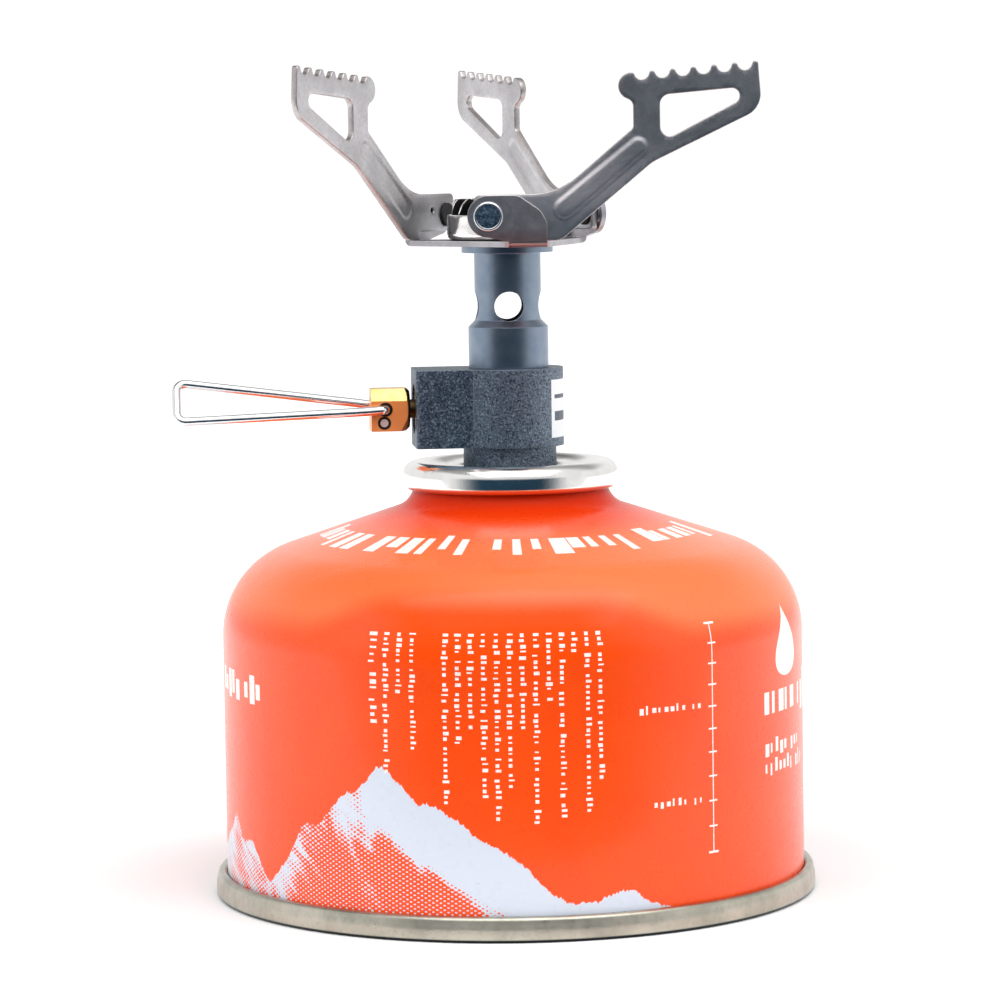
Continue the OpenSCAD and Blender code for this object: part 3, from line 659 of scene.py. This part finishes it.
# the CAD nodes whose shape stays
CAD_LOOK = {
    "can_valve_housing": PALE, "can_valve_gasket": RUBBER, "can_valve_spring": STEEL,
    "can_valve_stem": PALE, "socket_seal": RUBBER, "valve_body": BODY, "actuator_pin": BRASS_IN,
    "gas_filter": BRASS_IN, "jet": BRASS_IN, "gland_nut": BRASS_IN, "mixing_tube": TUBE,
    "base_plate": PLATE, "washer_front": STEEL, "washer_left": STEEL, "washer_rear": STEEL,
    "spindle": BRASS_IN, "spindle_o_ring": RUBBER, "knob_block": BRASS, "knob_pin": PIN,
}
for node_name, look in CAD_LOOK.items():
    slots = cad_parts[node_name].data.materials
    slots.clear()
    slots.append(look.m)

# ------------------------------------------------------------------ canister

knuckle = (WALL_R - SHOULDER_R, SHOULDER_Z)
cone_a = 90 - CONE
cone_top = (knuckle[0] + SHOULDER_R * math.cos(rad(cone_a)),
            knuckle[1] + SHOULDER_R * math.sin(rad(cone_a)))
CAN_WALL, NECK_R, FILLET, RIM_TOP = 0.45, 14.45, 3.8, 1.1


def cone_z(r):
    """The height of the can's cone at radius r"""
    return cone_top[1] + (cone_top[0] - r) * math.tan(rad(CONE))


fillet_c = (NECK_R + FILLET, cone_z(NECK_R) + FILLET * math.tan(rad(cone_a / 2)))
CURL, LIP_C, LIP_IN = (14.15, 62.45), (15.15, 61.3), 14.95    # the collar's rolled edge

outer = [(WALL_R - CAN_WALL, RIM_TOP), (WALL_R, RIM_TOP)] + [(WALL_R, z) for z in (8, 16, 24, 31)]
outer += arc(knuckle, SHOULDER_R, 0, cone_a, 40) + [(r, cone_z(r)) for r in (28, 23)]
outer += arc(fillet_c, FILLET, 180 + cone_a, 180, 10) + arc(CURL, 1.4, -70, 200, 16)
inner = arc(fillet_c, FILLET + CAN_WALL, 180, 180 + cone_a, 8)
inner += arc(knuckle, SHOULDER_R - CAN_WALL, cone_a, 0, 20)
shell = Build()
shell.lathe(outer + inner, 256)
shell.piece("can_shell_skin", "canister", "can_paint", [CAN], 40, "can_shell")

# white print on the can: a plain tick scale and rows of meaningless strokes, just proud of the paint
rng = random.Random(7)
FRONT = -90 - VIEW_YAW    # the direction of the can's front, in degrees
CONE_MID = 27.0           # the radius of the row on the cone
WALL_LIFT, CONE_LIFT = 0.014, 0.016
profile = [(z, r) for r, z in outer[1:-1] if z < 60]


def wall_r(z):
    """The can's radius at height z, below its collar"""
    for (z0, r0), (z1, r1) in zip(profile, profile[1:]):
        if z0 <= z <= z1 and z1 > z0:
            return r0 + (r1 - r0) * (z - z0) / (z1 - z0)
    return WALL_R


def on_wall(s, z):
    """Arc length s from the front, in mm at the wall's radius, and height z"""
    a = rad(FRONT) + s / WALL_R
    r = wall_r(z) + WALL_LIFT
    return (r * math.cos(a), r * math.sin(a), z)


def on_cone(s, d):
    """Arc length s at radius CONE_MID and distance d outwards along the cone"""
    a = rad(FRONT) + s / CONE_MID
    r = CONE_MID + d * math.cos(rad(CONE))
    return (r * math.cos(a), r * math.sin(a), cone_z(r) + CONE_LIFT)


ink = Build()


def grid_faces(n, k):
    """The faces of a grid of n by k cells, whose points run along k first"""
    m = k + 1
    corners = [i * m + j for i in range(n) for j in range(k)]
    return [(c, c + m, c + m + 1, c + 1) for c in corners]


def bar(where, s0, s1, t0, t1):
    """A printed rectangle, s0 to s1 round and t0 to t1 up, cut into cells that follow the curve"""
    n = max(1, math.ceil((s1 - s0) / 0.6))
    k = max(1, math.ceil((t1 - t0) / (0.6 if t1 > 38 else 6)))    # shorter where the shoulder curves
    grid = [where(s0 + (s1 - s0) * i / n, t0 + (t1 - t0) * j / k)
            for i in range(n + 1) for j in range(k + 1)]
    ink.add(grid, grid_faces(n, k))


def strokes(where, start, length, across, height, pitch, weight=0.5, down=False):
    """A row of small plain blocks with gaps between groups, as print looks from afar"""
    pos, left = 0.0, rng.randint(3, 8)
    while pos < length:
        w = pitch * weight * rng.choice((0.6, 1.0, 1.0, 1.3))
        lo = across - height * rng.choice((0.32, 0.32, 0.32, 0.5))
        hi = across + height * rng.choice((0.22, 0.22, 0.5))
        if down:
            bar(where, lo, hi, start - pos - w, start - pos)
        else:
            bar(where, start + pos, start + pos + w, lo, hi)
        pos += pitch
        left -= 1
        if left == 0:
            pos += pitch * 0.8
            left = rng.randint(3, 8)


def columns(first, pitch, lengths, height, cell):
    """Rows of blocks that hang down side by side, as a turned paragraph"""
    for k, length in enumerate(lengths):
        strokes(on_wall, 43.4, length, first + k * pitch, height, cell, down=True)


columns(-20.6, 2.03, (12.4,), 1.25, 0.98)
columns(-18.55, 2.03, (19.8, 8.2, 16.9), 0.98, 0.74)
for first, lengths in (
        (-9.7, (24.0, 15.2, 12.8, 23.6, 25.8, 21.4, 13.2, 27.0, 9.4, 26.2, 2.6, 25.2, 21.0)),
        (68.0, (21.0, 17.5, 24.0, 9.5, 22.5, 19.0, 12.0, 20.5)),
        (-116.0, (14.0, 19.5, 17.0, 8.5, 20.0, 18.2, 11.0, 16.5, 19.0, 15.5))):
    columns(first, 1.84, lengths, 0.98, 0.78)
# level rows: start, length, height on the wall, height of a block, pitch, and a block's share of it
for row in (
        (18.2, 10.0, 31.8, 1.3, 1.0), (20.4, 8.4, 18.3, 1.3, 1.0), (42.8, 20.0, 30.6, 6.0, 2.3, 0.62),
        (43.0, 12.5, 23.8, 2.6, 1.6, 0.55), (43.0, 16.0, 20.9, 2.4, 1.5, 0.55),
        (-64.5, 20.5, 33.1, 4.2, 2.0, 0.62), (96.0, 26.0, 30.5, 5.6, 2.3, 0.62)):
    strokes(on_wall, *row)
strokes(on_cone, -40.0, 78.0, 0.3, 6.6, 2.75, 0.72)
# the scale: an upright line and its ticks, with a longer tick at each end
SCALE_S, SCALE_TOP, TICKS = 30.75, 43.3, 11
bar(on_wall, SCALE_S - 0.09, SCALE_S + 0.09, 10.5, 43.4)
for k in range(TICKS):
    wide, high = (0.95, 0.16) if k in (0, TICKS - 1) else (0.78, 0.12)
    mark = SCALE_TOP - 2.75 * k - 0.053 * k * k
    bar(on_wall, SCALE_S - wide, SCALE_S + wide, mark - high, mark + high)
# a plain pointed drop, as a sign for fuel
DROP_S, DROP_Z, DROP_HALF, DROP_STEPS, DROP_SIDE = 50.4, 38.9, 5.2, 28, 6
drop = []
for k in range(DROP_STEPS + 1):
    up = -math.cos(math.pi * k / DROP_STEPS)
    half = 3.2 * math.sqrt(max(0, 1 - up * up)) * (1 - up) ** 0.9
    drop += [on_wall(DROP_S + half * (i / DROP_SIDE - 1), DROP_Z + DROP_HALF * up)
             for i in range(2 * DROP_SIDE + 1)]
# its rows run up the wall, not round it, so its faces are turned over
ink.add(drop, [(a, d, c, b) for a, b, c, d in grid_faces(DROP_STEPS, 2 * DROP_SIDE)])
ink.piece("can_print_marks", "canister", "can_paint", [INK], 180)

# the base: a rolled rim round a dome that rises inside the can
DOME_R, DOME_EDGE_Z, DOME_RISE, BASE_WALL = 42.25, 4.8, 5, 0.5
dome_r = (DOME_R ** 2 + DOME_RISE ** 2) / (2 * DOME_RISE)
dome_a = math.degrees(math.asin(DOME_R / dome_r))
dome_c = (0, DOME_EDGE_Z + DOME_RISE - dome_r)
rim = [(42.75, 0.06), (43.3, 0.0), (44.2, 0.0)] + arc((44.3, 0.7), 0.7, -80, 0, 6)
rim += [(45.0, 1.2), (44.99, 1.7), (44.95, 2.1), (44.88, 2.5), (44.78, 2.9)]
rim += arc((44.13, 3.0), 0.65, 10, 100, 7) + [(43.75, 3.66), (43.45, 3.45), (43.42, 1.0), (42.75, 0.95)]
rim += [(42.75, DOME_EDGE_Z)] + arc(dome_c, dome_r + BASE_WALL, 90 - dome_a, 90, 20)[1:-1]
rim += [(0, dome_c[1] + dome_r + BASE_WALL), (0, dome_c[1] + dome_r)]
rim += arc(dome_c, dome_r, 90, 90 - dome_a, 20)[1:] + [(DOME_R, 0.5)]
base = Build()
base.lathe(rim, 256)
base.piece("can_rim", "canister", "tinplate", [RIM], 38, "can_base")

# the valve cup: the boss with its thread, the well's floor and the rolled collar
FLOOR_Z, THREADS, THREAD_PITCH = 57.35, 6, 0.907
well = [(4.8, 63.0), (1.9, 63.0), (1.9, 64.0), (5.1, 64.0)]
for k in range(THREADS):
    zt = 63.6 - k * THREAD_PITCH
    well += [(5.5, zt - 0.08), (5.5, zt - 0.22), (5.16, zt - 0.5), (5.16, zt - 0.6)]
well += [(5.15, FLOOR_Z + 0.5)] + arc((5.65, FLOOR_Z + 0.5), 0.5, 180, 270, 4)
well += [(11.3, FLOOR_Z)] + arc((11.3, FLOOR_Z + 0.8), 0.8, -90, 0, 6)
well += arc(CURL, 2.0, 180, 0, 36) + arc(LIP_C, 1.0, 0, -90, 12) + [(LIP_IN, 60.3), (LIP_IN, 60.7)]
well += arc(LIP_C, 0.6, -90, 0, 8) + arc(CURL, 1.6, 0, 180, 24)
well += [(12.55, 57.6), (12.0, 56.9), (4.8, 56.9)]
cup = Build()
cup.lathe(well, 192)
cup.piece("valve_cup_skin", "canister", "cup_steel", [CHROME], 40, "valve_cup")

# ------------------------------------------------------------------ pot supports

# the first support's direction, the distance from the axis to its ear, and the sheet's thickness
HEADING, GAP, THICK = -6.6, 12.0, 1.0
PIVOT = (-2.4, 100.9)
TOOTH_SLOPE, TEETH, CREST, PITCH, RISE, LOBE = 4.6, 6, 0.45, 3.0, 0.4, 1.96
TIP = Vector((36.55, 122.9))
# the pressed rib: its ends, their radii and its height
RIB_A, RIB_B, RIB_RA, RIB_RB, RIB_H = Vector((8.7, 101.9)), Vector((19.5, 110.7)), 1.6, 1.45, 0.19
WINDOW = rounded([(22.75, 118.12, 1.5), (38.6, 119.4, 1.1), (22.75, 111.3, 1.4)], 8)
EDGE_R, SPACING, WALL_STEP = 0.13, 0.6, 0.5    # the rounding of edges, and the size of the mesh


def support_outline():
    along = Vector((math.cos(rad(TOOTH_SLOPE)), math.sin(rad(TOOTH_SLOPE))))
    over = Vector((-along.y, along.x))
    tip = TIP - CREST * over
    valley_r = math.hypot(PITCH / 2, RISE) - CREST
    ta = math.degrees(math.atan2(RISE, PITCH / 2))

    def crest(k):
        return tip - k * PITCH * along

    def valley(k):
        return crest(k) - PITCH / 2 * along + RISE * over

    teeth = arc(crest(TEETH), CREST, 90, ta + TOOTH_SLOPE, 4)
    for k in range(TEETH - 1, -1, -1):
        teeth += arc(valley(k), valley_r, 180 + ta + TOOTH_SLOPE, 360 - ta + TOOTH_SLOPE, 10)
        teeth += arc(crest(k), CREST, 180 - ta + TOOTH_SLOPE, ta + TOOTH_SLOPE if k else 0, 6)
    lobe = (crest(TEETH)[0], crest(TEETH)[1] + CREST - LOBE)
    neck, fr = 18.8, 1.2
    fc = (neck - fr, lobe[1] - math.sqrt((LOBE + fr) ** 2 - (lobe[0] - neck + fr) ** 2))
    la = math.degrees(math.atan2(fc[1] - lobe[1], fc[0] - lobe[0]))
    pts = [(-4.5, 98.5, 0.6), (-4.5, 104.05, 0.9), (7.7, 104.05, 11), (neck, 113.45, 0.8)]
    head = arc(fc, fr, 0, 180 + la, 8) + arc(lobe, LOBE, 360 + la, 90, 18) + teeth
    pts += [(x, y, 0) for x, y in head]
    pts += [(37.5, 116, 3.4), (21.6, 108.45, 7), (8.1, 97.28, 2.4), (5.05, 97.28, 0.2), (5.05, 98.5, 0.2)]
    return rounded(pts, 12)


def rib_depth(p):
    """How far a point is inside the pressed rib's outline, negative outside it"""
    q, length = Vector(p), RIB_B - RIB_A
    t = max(0, min(1, (q - RIB_A).dot(length) / length.length_squared))
    return RIB_RA + (RIB_RB - RIB_RA) * t - (q - (RIB_A + length * t)).length


def rib_height(p):
    """How far the rib lifts the sheet at a point"""
    t = max(0, min(1, (rib_depth(p) + 0.2) / 0.9))
    return RIB_H * t * t * (3 - 2 * t)


def rib_points():
    """Rows of points round the rib's slope, so that its edge is smooth"""
    d = (RIB_B - RIB_A).normalized()
    w = Vector((-d.y, d.x))
    side, turn = 48, 14
    points = []
    for off in (-0.34, -0.19, -0.04, 0.11, 0.26, 0.41, 0.56, 0.72):
        ra, rb = RIB_RA - off, RIB_RB - off
        for k in range(side + 1):
            for sg in (-1, 1):
                c = RIB_A + (RIB_B - RIB_A) * k / side
                points.append(tuple(c + w * sg * (ra + (rb - ra) * k / side)))
        for k in range(1, turn):
            ang = math.pi * k / turn
            points.append(tuple(RIB_A + (w * math.cos(ang) - d * math.sin(ang)) * ra))
            points.append(tuple(RIB_B + (w * math.cos(ang) + d * math.sin(ang)) * rb))
    return points


def plate_mesh(outline, holes):
    """The pressed sheet as points (s, z, out). Its faces follow rib_height; its edges are rounded"""
    loops = [split_long(tidy_loop(l), WALL_STEP) for l in [outline] + holes]
    for i, l in enumerate(loops):
        area = sum(l[k - 1][0] * l[k][1] - l[k][0] * l[k - 1][1] for k in range(len(l)))
        if (area > 0) != (i == 0):
            l.reverse()
    inset = [shrink(l, EDGE_R) for l in loops]
    flat = [p for l in inset for p in l]
    edges, n = [], 0
    for l in inset:
        edges += [(n + k, n + (k + 1) % len(l)) for k in range(len(l))]
        n += len(l)

    def on_sheet(p):
        return inside(p, inset[0]) and not any(inside(p, hole) for hole in inset[1:])

    # the points inside: the rib's rows, and an even net clear of them
    lo = [min(p[k] for p in loops[0]) for k in (0, 1)]
    hi = [max(p[k] for p in loops[0]) for k in (0, 1)]
    extra = rib_points()
    y, row = lo[1], 0
    while y < hi[1]:
        x = lo[0] + (SPACING / 2 if row % 2 else 0)
        while x < hi[0]:
            if not -0.6 < rib_depth((x, y)) < 0.95:
                extra.append((x, y))
            x += SPACING
        y += SPACING * 0.87
        row += 1
    walls = [p for l in loops for p in l]
    flat += [p for p in extra if on_sheet(p) and min(math.dist(p, q) for q in walls) > 0.38]
    out = delaunay_2d_cdt([Vector(p) for p in flat], edges, [], 0, 1e-6)
    pts, tris = out[0], out[2]
    keep = [tuple(t) for t in tris if on_sheet(tuple(sum(pts[k][j] for k in t) / 3 for j in (0, 1)))]
    build = Build()
    build.add([(p[0], p[1], THICK / 2 + rib_height(p)) for p in pts], keep)
    build.add([(p[0], p[1], -THICK / 2 + rib_height(p)) for p in pts], [t[::-1] for t in keep])
    # the walls: how far inside the outline and how deep below the face each row of an edge lies
    ring = [(0.0, EDGE_R), (EDGE_R * 0.13, EDGE_R * 0.5), (EDGE_R * 0.5, EDGE_R * 0.13), (EDGE_R, 0.0)]
    for l in loops:
        rows = []
        for ins, dep in reversed(ring):
            q = shrink(l, ins) if ins else l
            rows.append([(p[0], p[1], THICK / 2 + rib_height(p) - dep) for p in q])
        for ins, dep in ring:
            q = shrink(l, ins) if ins else l
            rows.append([(p[0], p[1], -THICK / 2 + rib_height(p) + dep) for p in q])
        n = len(l)
        verts = [p for r in rows for p in r]
        faces = [(i * n + k, (i + 1) * n + k, (i + 1) * n + (k + 1) % n, i * n + (k + 1) % n)
                 for i in range(len(rows) - 1) for k in range(n)]
        build.add(verts, faces, 1)
    return build


def at_support(i, gap):
    """Maps (s, z, out) on support i into the row frame"""
    phi = rad(HEADING + (0, -120, 120)[i])
    u = Vector((math.cos(phi), math.sin(phi), 0))
    n = Vector((math.sin(phi), -math.cos(phi), 0))
    return lambda p: u * p[0] + n * (gap + p[2]) + Vector((0, 0, p[1]))


def join_walls(o):
    """Joins the walls of a plate to its faces where they meet"""
    bm = bmesh.new()
    bm.from_mesh(o.data)
    bmesh.ops.remove_doubles(bm, verts=bm.verts, dist=0.004 * MM)
    bmesh.ops.recalc_face_normals(bm, faces=bm.faces)
    bm.to_mesh(o.data)
    bm.free()
    o.data.set_sharp_from_angle(angle=rad(50))


rivet_hole, ear_hole = arc(PIVOT, 1.45, 0, 360, 32), arc((1.6, 101.6), 0.45, 0, 360, 16)
arm = plate_mesh(support_outline(), [WINDOW, rivet_hole, ear_hole])
EAR_OUT = GAP + THICK + 0.2 + 0.8    # the outer face of the ear, past the gap
SHANK_R = 1.4
for i, name in enumerate(("front", "left", "rear")):
    # the front support gets the copy with painted shade
    slot, look = ("titanium", TITAN) if i else ("dark_sheet", TITAN_SHADED)
    place = at_support(i, GAP + THICK / 2)
    plate = Build()
    plate.add([place(p) for p in arm.v], arm.f)
    plate.m = arm.m
    join_walls(plate.piece("pot_support_plate_" + name, "support_" + name, slot,
                           [look, TITAN_EDGE], 50, "pot_support_" + name))

    # rivet: a domed ring with a dark pressed face, a shank, and a head inside
    spot = at_support(i, 0)

    def on_pivot(p, spot=spot):
        return spot((PIVOT[0] + p.x, PIVOT[1] + p.y, p.z))

    domed = [(1.66, 0.24), (1.74, 0.40), (1.86, 0.45), (2.02, 0.42), (2.14, 0.3), (2.2, 0.12),
             (2.2, 0), (SHANK_R, 0)]
    face = [(0, 0.33), (0.8, 0.32), (1.4, 0.28), (1.68, 0.23)]
    rivet = Build()
    rivet.lathe([(r, EAR_OUT + z) for r, z in domed], 48, False, 0, on_pivot)
    # the shank and the head inside are near black, painted shade
    rivet.lathe([(SHANK_R, EAR_OUT), (SHANK_R, GAP - 0.05), (1.75, GAP - 0.05), (1.75, GAP - 0.25),
                 (1.6, GAP - 0.4), (0, GAP - 0.4)], 48, False, 2, on_pivot)
    rivet.lathe([(r, EAR_OUT + z) for r, z in face], 48, False, 1, on_pivot)
    rivet.piece("rivet_head_" + name, "stove", "rivet_steel", [RING, FACE, DARK], 40, "rivet_" + name)

# ------------------------------------------------------------------ burner

TUBE_OUT, CUP_C = 3.68, (7.9, 98.2)    # the tube's spigot, and the centre of the cup's rounded foot
burner = Build()
bowl = [(TUBE_OUT, 91.2), (4.08, 91.2), (4.08, 97.2)] + arc(CUP_C, 1.0, -90, 0, 10)
bowl += [(8.9, 99.2), (8.88, 100.6)] + arc((8.72, 100.82), 0.18, 0, 180, 6)
bowl += [(8.5, 99.0)] + arc(CUP_C, 0.6, 0, -90, 6) + [(TUBE_OUT, 97.6)]
burner.lathe(bowl, 128)
burner.piece("burner_cup_skin", "stove", "steel", [CUP], 40, "burner_cup")

crown = Build()
FINS, R_IN, R_OUT, Z0, Z1, SLANT = 16, 6.0, 8.25, 98.0, 103.3, 34
LEVELS, ROUND = 8, 7    # the steps up a fin, and the points round it
for k in range(FINS):
    rows = []
    for j in range(LEVELS + 1):
        t = j / LEVELS
        z = Z0 + (Z1 - Z0) * t
        a = 2 * math.pi * k / FINS + (t - 0.5) * (Z1 - Z0) * math.tan(rad(SLANT)) / 8.0
        ro = R_OUT - 0.25 * max(0, (t - 0.8) / 0.2) ** 2 * 2 - (0 if j else 0.45)
        w = 0.24 - 0.04 * t
        section = [(R_IN, -w), (ro - 0.2, -w), (ro - 0.05, -w * 0.72), (ro, 0),
                   (ro - 0.05, w * 0.72), (ro - 0.2, w), (R_IN, w)]
        ca, sa = math.cos(a), math.sin(a)
        rows.append([(r * ca - side * sa, r * sa + side * ca, z) for r, side in section])
    verts = [p for r in rows for p in r]
    sides = []
    for q in range(ROUND):
        q2 = (q + 1) % ROUND
        sides.append([(i + q, i + q2, i + ROUND + q2, i + ROUND + q)
                      for i in range(0, LEVELS * ROUND, ROUND)])
    ends = [tuple(range(ROUND - 1, -1, -1)), tuple(LEVELS * ROUND + q for q in range(ROUND))]
    # the narrow outer edge is bright; the flanks are near black, painted shade
    crown.add(verts, sides[1] + sides[2] + sides[3] + sides[4] + ends, 0)
    crown.add(verts, sides[0] + sides[5] + sides[6], 1)
# the inner ring is near black too, painted shade inside the burner
crown.lathe([(6.3, 97.7), (6.3, 102.25), (5.8, 102.25), (5.8, 97.7)], 96, True, 1)
crown.piece("flame_ring", "stove", "crown_steel", [HOT, DARK], 40, "burner_crown")

CAP_TOP, CAP_R, CAP_CROWN = 103.8, 6.62, 24.0    # CAP_CROWN is the radius of its domed top
cap = Build()
cap_a = math.degrees(math.asin(CAP_R / CAP_CROWN))
lid = [(0, CAP_TOP)] + arc((0, CAP_TOP - CAP_CROWN), CAP_CROWN, 90, 90 - cap_a, 12)[1:]
lid += arc((6.55, 102.72), 0.15, 60, -60, 4)
lid += [(6.5, 102.4), (5.75, 102.4), (5.75, 100.2), (5.2, 100.2), (5.2, 102.1), (0, 102.8)]
cap.lathe(lid, 96, False)
cap.piece("burner_cap_skin", "stove", "crown_steel", [HOT], 40, "burner_cap")

# ------------------------------------------------------------------ wire handle

WIRE_R = 0.67
# the wire's corners and the radius of each bend
corners = [
    ((HOLE_X, -1.3, HOLE_Z), 0), ((HOLE_X, -3.9, HOLE_Z), 0.85), ((-22.2, -3.9, 72.2), 12),
    ((-49.5, -1.75, 71.1), 1.45), ((-49.5, 1.75, 76.7), 1.45), ((-22.2, 3.9, 73.0), 12),
    ((HOLE_X, 3.9, HOLE_Z), 0.85), ((HOLE_X, 1.3, HOLE_Z), 0),
]


def bend(a, b, c, r, steps):
    """The points that round corner b, between a and c, to radius r"""
    a, b, c = Vector(a), Vector(b), Vector(c)
    u, v = (a - b).normalized(), (c - b).normalized()
    half = math.acos(u.dot(v)) / 2
    m = b + (u + v).normalized() * r / math.sin(half)
    e1 = (b + u * r / math.tan(half) - m).normalized()
    w = b + v * r / math.tan(half) - m
    e2 = (w - e1 * w.dot(e1)).normalized()
    turn = math.pi - 2 * half
    return [m + r * (e1 * math.cos(turn * k / steps) + e2 * math.sin(turn * k / steps))
            for k in range(steps + 1)]


path = [Vector(corners[0][0])]
for before, corner, after in zip(corners, corners[1:], corners[2:]):
    path += bend(before[0], corner[0], after[0], corner[1], 12)
path.append(Vector(corners[-1][0]))
full = [path[0]]
for p in path[1:]:
    k = max(1, math.ceil((p - full[-1]).length / 1.2))
    q = full[-1].copy()
    full += [q + (p - q) * j / k for j in range(1, k + 1)]
handle = Build()
handle.tube(full, WIRE_R, 24)
handle.piece("handle_wire", "handle", "wire", [WIRE], 60, "wire_handle")

# ------------------------------------------------------------------ floor, light and camera

ground = Mat("pale_floor", Metallic=0.0, Roughness=0.9, Specular_IOR_Level=0.2,
             Emission_Color=(1, 1, 1, 1))
far = (ground.x * ground.x + ground.y * ground.y).power(0.5)
# painted light: the floor glows, less near the object, so that its shadow shows
ground.put("Emission Strength", far.step(50.0, 110.0, 0.0, 0.14) + far.step(110.0, 420.0, 0.0, 0.38))
cloud = ground.noise(0.02, 3).step(0.3, 0.7)
ground.put("Base Color", ground.mix(cloud, (0.90, 0.90, 0.90), (0.89, 0.89, 0.89)))
me = bpy.data.meshes.new("floor")
me.from_pydata([(-6, -0.105, 0), (6, -0.105, 0), (6, 9, 0), (-6, 9, 0)], [], [(0, 1, 2, 3)])
me.materials.append(ground.m)
floor = bpy.data.objects.new("floor", me)
scene.collection.objects.link(floor)

world = bpy.data.worlds.new("studio")
scene.world = world
world.use_nodes = True
wt = world.node_tree
backdrop = wt.nodes["Background"]
coord = wt.nodes.new("ShaderNodeTexCoord")
sep = wt.nodes.new("ShaderNodeSeparateXYZ")
wt.links.new(coord.outputs["Generated"], sep.inputs[0])
dx, dy, dz = (Num(wt, socket) for socket in sep.outputs)
front = dx * (-0.0958) + dy * (-0.9954)    # 1 straight back towards the camera
path_node = wt.nodes.new("ShaderNodeLightPath")
seen = Num(wt, path_node.outputs["Is Camera Ray"])
# the room in front of the table is dark and cool up to just above the horizon
dark_side = front.step(0.35, 0.86) * dz.step(0.06, 0.34, 1.0, 0.12)
tint = wt.nodes.new("ShaderNodeMix")
tint.data_type = "RGBA"
feed(wt, dark_side * (1.0 - seen), tint.inputs["Factor"])
feed(wt, (1, 1, 1, 1), tint.inputs[6])
feed(wt, (0.016, 0.05, 0.085, 1), tint.inputs[7])
feed(wt, tint.outputs[2], backdrop.inputs["Color"])
# the back wall dims upwards, and so does the left
behind = (-front).step(0.05, 0.5) * dz.step(0.4, 0.66) * dz.step(0.9, 1.0, 1.0, 0.4)
left = (-dx).step(0.0, 0.3) * dz.step(0.6, 0.8)
level = (1.0 - behind * 0.55) * (1.0 - left * 0.6) * (1.0 - seen) * 0.95 + seen * 1.05
feed(wt, level, backdrop.inputs["Strength"])


def softbox(name, spot, target, size, power, glossy=True):
    """An area light; glossy lets it show in reflections"""
    light = bpy.data.lights.new(name, "AREA")
    light.shape = "RECTANGLE"
    light.size, light.size_y = size
    light.energy = power
    o = bpy.data.objects.new(name, light)
    o.location = spot
    o.rotation_euler = (Vector(target) - Vector(spot)).to_track_quat("-Z", "Y").to_euler()
    o.visible_glossy = glossy
    scene.collection.objects.link(o)


softbox("top_box", (0.0, -0.45, 0.85), (0, 0, 0.05), (1.2, 0.8), 6.2)
softbox("left_box", (-0.75, -0.42, 0.45), (0, 0, 0.05), (0.5, 0.8), 3.0, glossy=False)
softbox("right_box", (0.78, -0.34, 0.42), (0, 0, 0.06), (0.5, 0.8), 2.6, glossy=False)

cam_data = bpy.data.cameras.new("camera")
cam_data.lens = 145.06
cam_data.sensor_width = 36.0
cam_data.shift_x = -0.0107
cam_data.clip_start = 0.05
cam_data.clip_end = 50
cam = bpy.data.objects.new("camera", cam_data)
scene.collection.objects.link(cam)
yaw, pitch, roll = rad(VIEW_YAW), rad(5.106), rad(0.826)
CAM_AWAY, CAM_UP = 0.6004, 0.11194    # metres from the object's axis and above the floor
ahead = Vector((math.sin(yaw) * math.cos(pitch), math.cos(yaw) * math.cos(pitch), -math.sin(pitch)))
level_right = Vector((math.cos(yaw), -math.sin(yaw), 0))
level_up = level_right.cross(ahead)
right = math.cos(roll) * level_right - math.sin(roll) * level_up
up = math.sin(roll) * level_right + math.cos(roll) * level_up
turned = Matrix((right, up, -ahead)).transposed().to_4x4()
spot = (-CAM_AWAY * math.sin(yaw), -CAM_AWAY * math.cos(yaw), CAM_UP)
cam.matrix_world = Matrix.Translation(spot) @ turned
scene.camera = cam
scene.view_settings.view_transform = "Standard"
scene.view_settings.look = "None"
